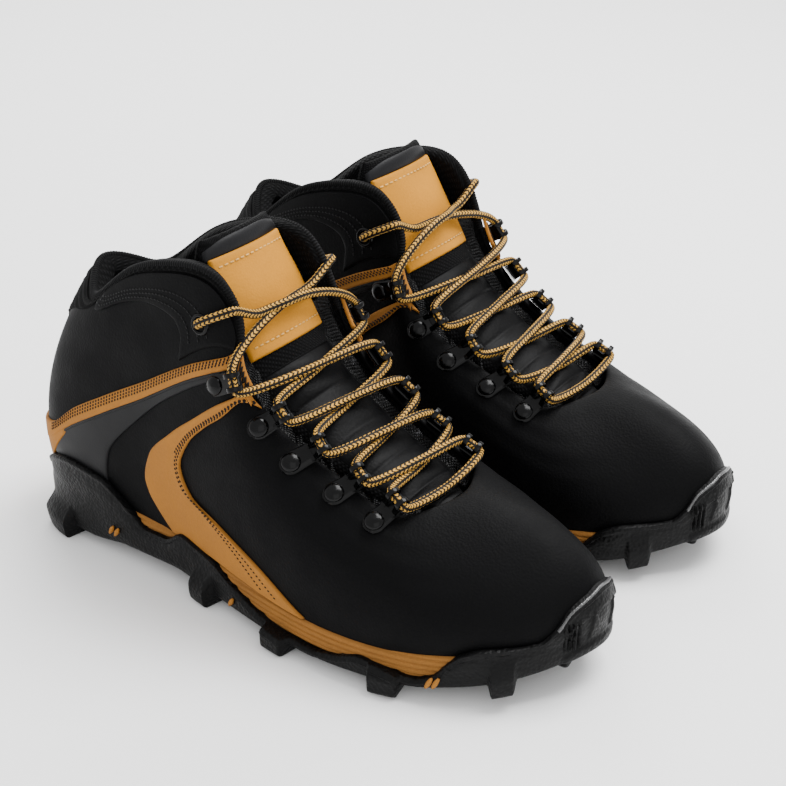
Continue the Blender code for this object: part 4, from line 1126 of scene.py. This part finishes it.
def eyelet(side):
    foot, axes = eyelet_frame(side)
    r, flange = EYELET_HOLE, EYELET_FLANGE
    profile = [(r, -7.0), (r + 0.5, -7.0), (r + 0.6, 0.9), (flange, 0.9), (flange + 0.1, 1.4),
               (flange - 0.4, 2.1), (flange - 1.0, 2.5), (r + 0.5, 2.3), (r, 1.4)]
    name = "eyelet_" + side
    make(name, [turned(profile, 40, foot, axes)], METAL)
    cup = [(0.01, -5.6), (r - 0.05, -5.6), (r - 0.05, -6.4), (0.01, -6.4)]
    make("eyelet_back_" + side, [turned(cup, 24, foot, axes)], BLACK_THREAD)


def over_tongue(s, b, height):
    """Point above the tongue at distance s from the heel."""
    at = np.linspace(0, len(TONGUE_LINE) - 1, 400)
    best = at[np.argmin(abs(tongue_frame(at)[0][:, 0] - s))]
    return tongue_point(best, b, height)


def lace_strand(start_side):
    """Half of the lace: from the lowest bar, crossing at each row, to the far eyelet."""
    low, high = LACE_LEVELS
    over = start_side == "medial"
    points = []
    side = start_side
    for number in range(len(LOOPS) - 1, -1, -1):
        foot, ahead, through, up, length = loop_frame(number, side)
        towards_ankle = -through if through[0] > 0 else through
        ring = foot + ahead * length + up * RING_RISE
        points += [ring + towards_ankle * reach for reach in RING_PASS]
        s = LOOPS[number][1][0]
        s = (s + LOOPS[number - 1][1][0]) / 2 if number else LAST_CROSSING
        patch = PATCH_LIFT if number == 0 else 0.0
        points.append(over_tongue(s, 0.0, (high if over else low) + patch))
        over = not over
        side = "medial" if side == "lateral" else "lateral"
    points.append(over_tongue(LAST_CROSSING - 0.5, 0.6 * SIGNS[side], 6.5))
    u, v, out = LACE_OVER_COLLAR
    points.append(skin(mirrored(u, side), v, out))
    foot, axes = eyelet_frame(side)
    return points + [foot + axes[2] * depth for depth in EYELET_PASS]


def lace():
    """One cord, cut at the middle of each crossing."""
    bar = over_tongue(LOOPS[-1][1][0] + LOWEST_BAR[0], 0.0, LOWEST_BAR[1])
    points = np.array(lace_strand("lateral")[::-1] + [bar] + lace_strand("medial"))
    places = spans(points[:, None], 0)[:, 0]
    at = np.linspace(0, places[-1], int(places[-1] / LACE_STEP))
    path = through(places, points)(at)
    for _ in range(LACE_SMOOTHING):
        path[1:-1] = (path[:-2] + 2 * path[1:-1] + path[2:]) / 4
    sides = 14
    plait = 1 + 0.03 * np.cos(4 * full_turn(sides))[None, :]
    twist = 0.03 * np.sin(at / LACE_BAR * 2 * math.pi)[:, None]
    rings = tube(path, LACE_R, sides)[0].reshape(-1, sides, 3)
    rings = path[:, None] + (rings - path[:, None]) * (plait + twist)[..., None]
    uv = np.stack(np.broadcast_arrays(at[:, None], np.linspace(0, 1, sides + 1)[None]), -1)
    inner = path[:, 1] > 0
    cuts = np.concatenate([[0], 1 + np.flatnonzero(np.diff(inner)), [len(path) - 1]])
    for number, (start, stop) in enumerate(zip(cuts, cuts[1:])):
        part = slice(start, stop + 1)
        sign = 1.0 if inner[(start + stop) // 2] else -1.0
        reach = min(np.abs(path[part, 1]).max() - 1.0, LACE_BEND_FROM)
        make(f"lace_{number}", [capped(rings[part], uv[part])], CORD,
             node="lace", blend=(sign * reach, sign * (reach - LACE_BEND)))


# Sole.
def ring_u(count):
    """Steps around the boot, finer at the heel and the toe."""
    t = np.linspace(0, 1, count, endpoint=False)
    return AROUND * (t - 0.4 * np.sin(4 * math.pi * t) / (4 * math.pi))


def wall_top(u):
    return smooth(WALL_TOP)(np.where(u > TOE_U, AROUND - u, u))


def lug_mask(along, lugs, ramp=1.4):
    """1 on a lug, 0 between lugs, with short slanted ends."""
    mask = np.zeros_like(along)
    for s, length in lugs:
        mask = np.maximum(mask, window(along - s, length / 2 - ramp, ramp))
    return mask


def toe_relief(from_toe, heel, z, share, top):
    """A band, upright ribs and two triangles that stand out of the toe bumper."""
    band = 0.9 * window(top - z - 4.2, 3.2, 0.7) + 1.0 * window(share - 0.1, 0.06, 0.06)
    comb = 0.7 * np.sin(heel / COMB_PITCH * 2 * math.pi) * window(from_toe - 0.58, 0.11, 0.03)
    half = 0.09 * np.clip((38 - z) / 12, 0, 1)
    wedge = 0.9 * window(from_toe - 0.24, half, 0.03) * window(z - 31.5, 5.5, 0.8)
    return window(from_toe, 0.66, 0.08) * band + comb * window(z - 29.5, 6.5, 1.0) + wedge


def side_wall(u, feather):
    """Side wall and plate in one skin, with the outer lugs worked into it."""
    s, m = feather[:, 0], feather[:, 1]
    low = base_height(s) + HOLLOW * window(s - WAIST[0], *WAIST[1:])
    plate_top = base_height(s) + PLATE
    top = np.maximum(wall_top(u), plate_top + 0.8)
    around = spans(feather[:, None], 0)[:, 0]
    heel = np.minimum(around, around[-1] - around)
    flare = np.where(m < 0, 5.2, 3.6) * (1 - 0.3 * window(s - 255, 50, 25))
    lug = lug_mask(s, SIDE_LUGS, 1.8)
    middle = lug_mask(s, [(place, 0.6) for place, length in SIDE_LUGS], 3.6)
    set_back = lug_mask(s, SET_BACK_LUGS)
    either = np.maximum(lug, set_back)
    ground = low - TREAD * lug
    under = ((low, -15.0), (low - 0.7, -13.6), (low - (TREAD - 0.5) * either, -13.0),
             (low - TREAD * either, -12.2), (low - TREAD * either, -5.0),
             (low - TREAD * np.maximum(lug, 0.9 * set_back), -4.2), (ground, -3.4))
    rings = [side_ring(u, z, out) for z, out in under]
    turned_in = {0.99: 0.4, 1.0: 1.3}
    for share in [0.0, 0.012, 0.035, 0.07, *np.linspace(0.11, 0.9, 24), 0.93, 0.96, 0.98, 0.99, 1.0]:
        z = ground + (top - ground) * share
        above = z - low + TREAD
        edge = 1.4 * (1 - np.clip((z - ground) / 1.6, 0, 1)) ** 2
        reach = window(above, 8.0, 10.0) * lug
        notch = middle * window(above - 14.0, 2.5, 4.5) * lug
        body = (2.4 + 2.0 * window(share - 0.45, 0.2, 0.45)) * (1 - 0.6 * window(s - 303, 6, 40))
        rim = 0.8 * window(top - z - 1.2, 0.9, 0.5) - turned_in.get(share, 0.0)
        relief = toe_relief(np.abs(u - TOE_U), heel, z, share, top)
        rings.append(side_ring(u, z, body + flare * reach - 3.4 * notch + relief + rim - edge))
    inside = ((top - 0.2, 0.4), ((plate_top + top) / 2, 0.2), (plate_top, 0.2), (plate_top, -8.0))
    return bridged(np.array(rings + [side_ring(u, z, out) for z, out in inside]))


def centre_lug(place, length, half):
    """Bowed block under the plate, narrower towards the ground."""
    circle = np.stack([np.cos(full_turn(32)), np.sin(full_turn(32))], -1)
    x, y = (np.sign(circle) * np.abs(circle) ** 0.3).T
    rings = []
    for scale, z in ((1.0, 0.5), (0.97, -3.5), (0.92, -4.6), (0.85, -TREAD)):
        along = place + x * scale * length / 2.2 + 0.2 * np.abs(y) * half
        rings.append(np.stack([along, y * scale * half, np.full(32, base_height(place) + z)], -1))
    return capped(np.array(rings), np.zeros((4, 33, 2)))


def outsole():
    u = ring_u(1100)
    feather = RAILS[0](u)
    outer = feather[:len(u) // 2]
    solids = [side_wall(u, feather)]
    for place, length in CENTRE_LUGS:
        edge = np.abs(outer[np.argmin(np.abs(outer[:, 0] - place)), 1])
        half = min(19.0, edge - 16.0)
        if half >= 4:
            solids.append(centre_lug(place, length, half))
    make("outsole", solids, RUBBER, sharp=50)


def toe_rim():
    """Polished edge of the toe bumper, where it meets the leather. Its gloss catches real highlights, and its
    grey colour, far lighter than the rubber's, is a painted highlight along the edge.
    """
    u = np.linspace(TOE_U - 0.78, TOE_U + 0.78, 90)
    line = side_ring(u, wall_top(u) - 0.6, 1.9)
    make("toe_rim", [tube(line, 0.75, 8)], POLISHED_RIM_PAINTED_HIGHLIGHT)


def midsole():
    """Foam between the rubber and the upper, grooved and bulging."""
    u = ring_u(420)
    feather = RAILS[0](u)
    low = base_height(feather[:, 0]) + 3.2
    top = feather[:, 2] + 0.6
    rings = [side_ring(u, low, -6.0)]
    for t in np.linspace(0, 1, 40):
        z = low + (top - low) * t
        groove = -1.0 * np.clip(np.sin(z * 2 * math.pi / GROOVE_PITCH), 0.2, 1)
        bulge = 2.1 * math.sqrt(max(0.0, 1 - (2 * t - 1) ** 4))
        bulge = bulge * (1 - 0.8 * window(feather[:, 0] - 303, 6, 40))
        rings.append(side_ring(u, z, bulge + groove - 0.2))
    rings.append(side_ring(u, top, -6.0))
    make("midsole", [bridged(np.array(rings))], FOAM)


def rib_pairs():
    """Small tan ribs let into the rubber, on the outer side."""
    solids = []
    for place, height, steps in ((3.21, 15.0, (-1.7, 1.7)), (10.42, 11.0, (-1.5, 1.5)), (6.33, 10.0, (0.0,))):
        for step in steps:
            at = np.array([place])
            z = np.linspace(height - 2.4, height + 2.4, 8)
            line = np.concatenate([side_ring(at, h, 5.0) for h in z])
            along = unit(RAILS[0](at + 0.05) - RAILS[0](at - 0.05))
            slanted = line + along * (step + 0.6 * (z - height))[:, None]
            solids.append(tube(slanted, 1.15 * np.sin(np.linspace(0.5, 2.64, 8)), 8))
    make("tan_ribs", solids, TAN)


def footbed():
    """Insole with a raised heel rim and a shallow bowl under the foot."""
    u = ring_u(220)
    feather = RAILS[0](u)
    rim = smooth([(-1, 7.0), (60, 6.0), (120, 4.0), (170, 0.8), (300, 0.3)])(feather[:, 0])
    rings = []
    for inset, share, lift in ((10.0, 0, 4.4), (8.6, 0, 5.2), (8.4, 0.5, 8.5), (8.9, 0.85, 8.5),
                               (10.4, 1, 8.5), (12.0, 0.8, 8.5), (14.0, 0.4, 8.4), (16.5, 0.1, 8.2),
                               (20.0, 0, 8.0), (24.0, 0, 7.8)):
        inset = np.minimum(inset, 8.4 + np.abs(feather[:, 1]) * 0.8 + 3)
        ring = feather - plan_normal(u) * inset[:, None]
        ring[:, 2] = feather[:, 2] + lift + rim * share
        rings.append(ring)
    make("footbed", [bridged(np.array(rings))], FOOTBED_CLOTH, "footbed")


def inner_parts():
    """Sealed pieces keep their CAD shape and take a finish."""
    for boot in ("right", "left"):
        for node, finish in (("shank", STEEL), ("lasting_board", BOARD),
                             ("toe_puff", STIFFENER), ("heel_counter", STIFFENER)):
            materials = frame["nodes"][boot + "_" + node].data.materials
            materials.clear()
            materials.append(finish)


# Setting.
VIEW = {"azimuth": -55.29, "elevation": 27.34, "roll": -0.69, "distance": 0.806,
        "lens": 78.6, "target": (0.0105, -0.0258, 0.070), "shift": (-0.0665, 0.0060)}
LIGHTS = (("key", (0.45, -0.35, 1.25), 34.0, 0.8), ("fill", (-0.9, -1.0, 0.7), 3.0, 1.0),
          ("back", (0.8, 0.8, 0.9), 12.0, 0.8))          # name, place, watts, side


def setting():
    bpy.ops.mesh.primitive_plane_add(size=8.0, location=(0, 0, 0))
    floor = bpy.context.object
    floor.name = "floor"
    floor.data.materials.append(FLOOR)
    world_light = bpy.data.worlds.new("studio")
    world_light.use_nodes = True
    background = world_light.node_tree.nodes["Background"]
    background.inputs["Color"].default_value = (1.0, 1.0, 1.0, 1)
    background.inputs["Strength"].default_value = 1.38
    bpy.context.scene.world = world_light
    for name, place, power, size in LIGHTS:
        lamp = bpy.data.lights.new(name, "AREA")
        lamp.energy, lamp.size = power, size
        holder = bpy.data.objects.new(name, lamp)
        holder.location = place
        aim = Vector((0, 0, 0.06)) - Vector(place)
        holder.rotation_euler = aim.to_track_quat("-Z", "Y").to_euler()
        bpy.context.collection.objects.link(holder)


def camera():
    az, el = math.radians(VIEW["azimuth"]), math.radians(VIEW["elevation"])
    back = Vector((math.sin(az) * math.cos(el), -math.cos(az) * math.cos(el), math.sin(el)))
    lens = bpy.data.cameras.new("camera")
    lens.lens, lens.sensor_width = VIEW["lens"], 36.0
    lens.shift_x, lens.shift_y = VIEW["shift"]
    lens.clip_start = 0.01
    holder = bpy.data.objects.new("camera", lens)
    turn = back.to_track_quat("Z", "Y").to_matrix().to_4x4()
    roll = Matrix.Rotation(math.radians(VIEW["roll"]), 4, "Z")
    place = Vector(VIEW["target"]) + back * VIEW["distance"]
    holder.matrix_world = Matrix.Translation(place) @ turn @ roll
    bpy.context.collection.objects.link(holder)
    bpy.context.scene.camera = holder


def build():
    for side in SIGNS:
        for piece in (quarter, stripe, swoosh, eyestay_tab, satin_panel, ankle_overlay, gusset, eyelet):
            piece(side)
        for number in range(len(LOOPS)):
            lace_loop(side, number)
    for piece in (vamp, heel_panel, achilles, collar, collar_binding, tongue, tongue_border,
                  tongue_leather, tongue_tab, lace, outsole, toe_rim, midsole, rib_pairs, footbed,
                  inner_parts, setting, camera):
        piece()


build()
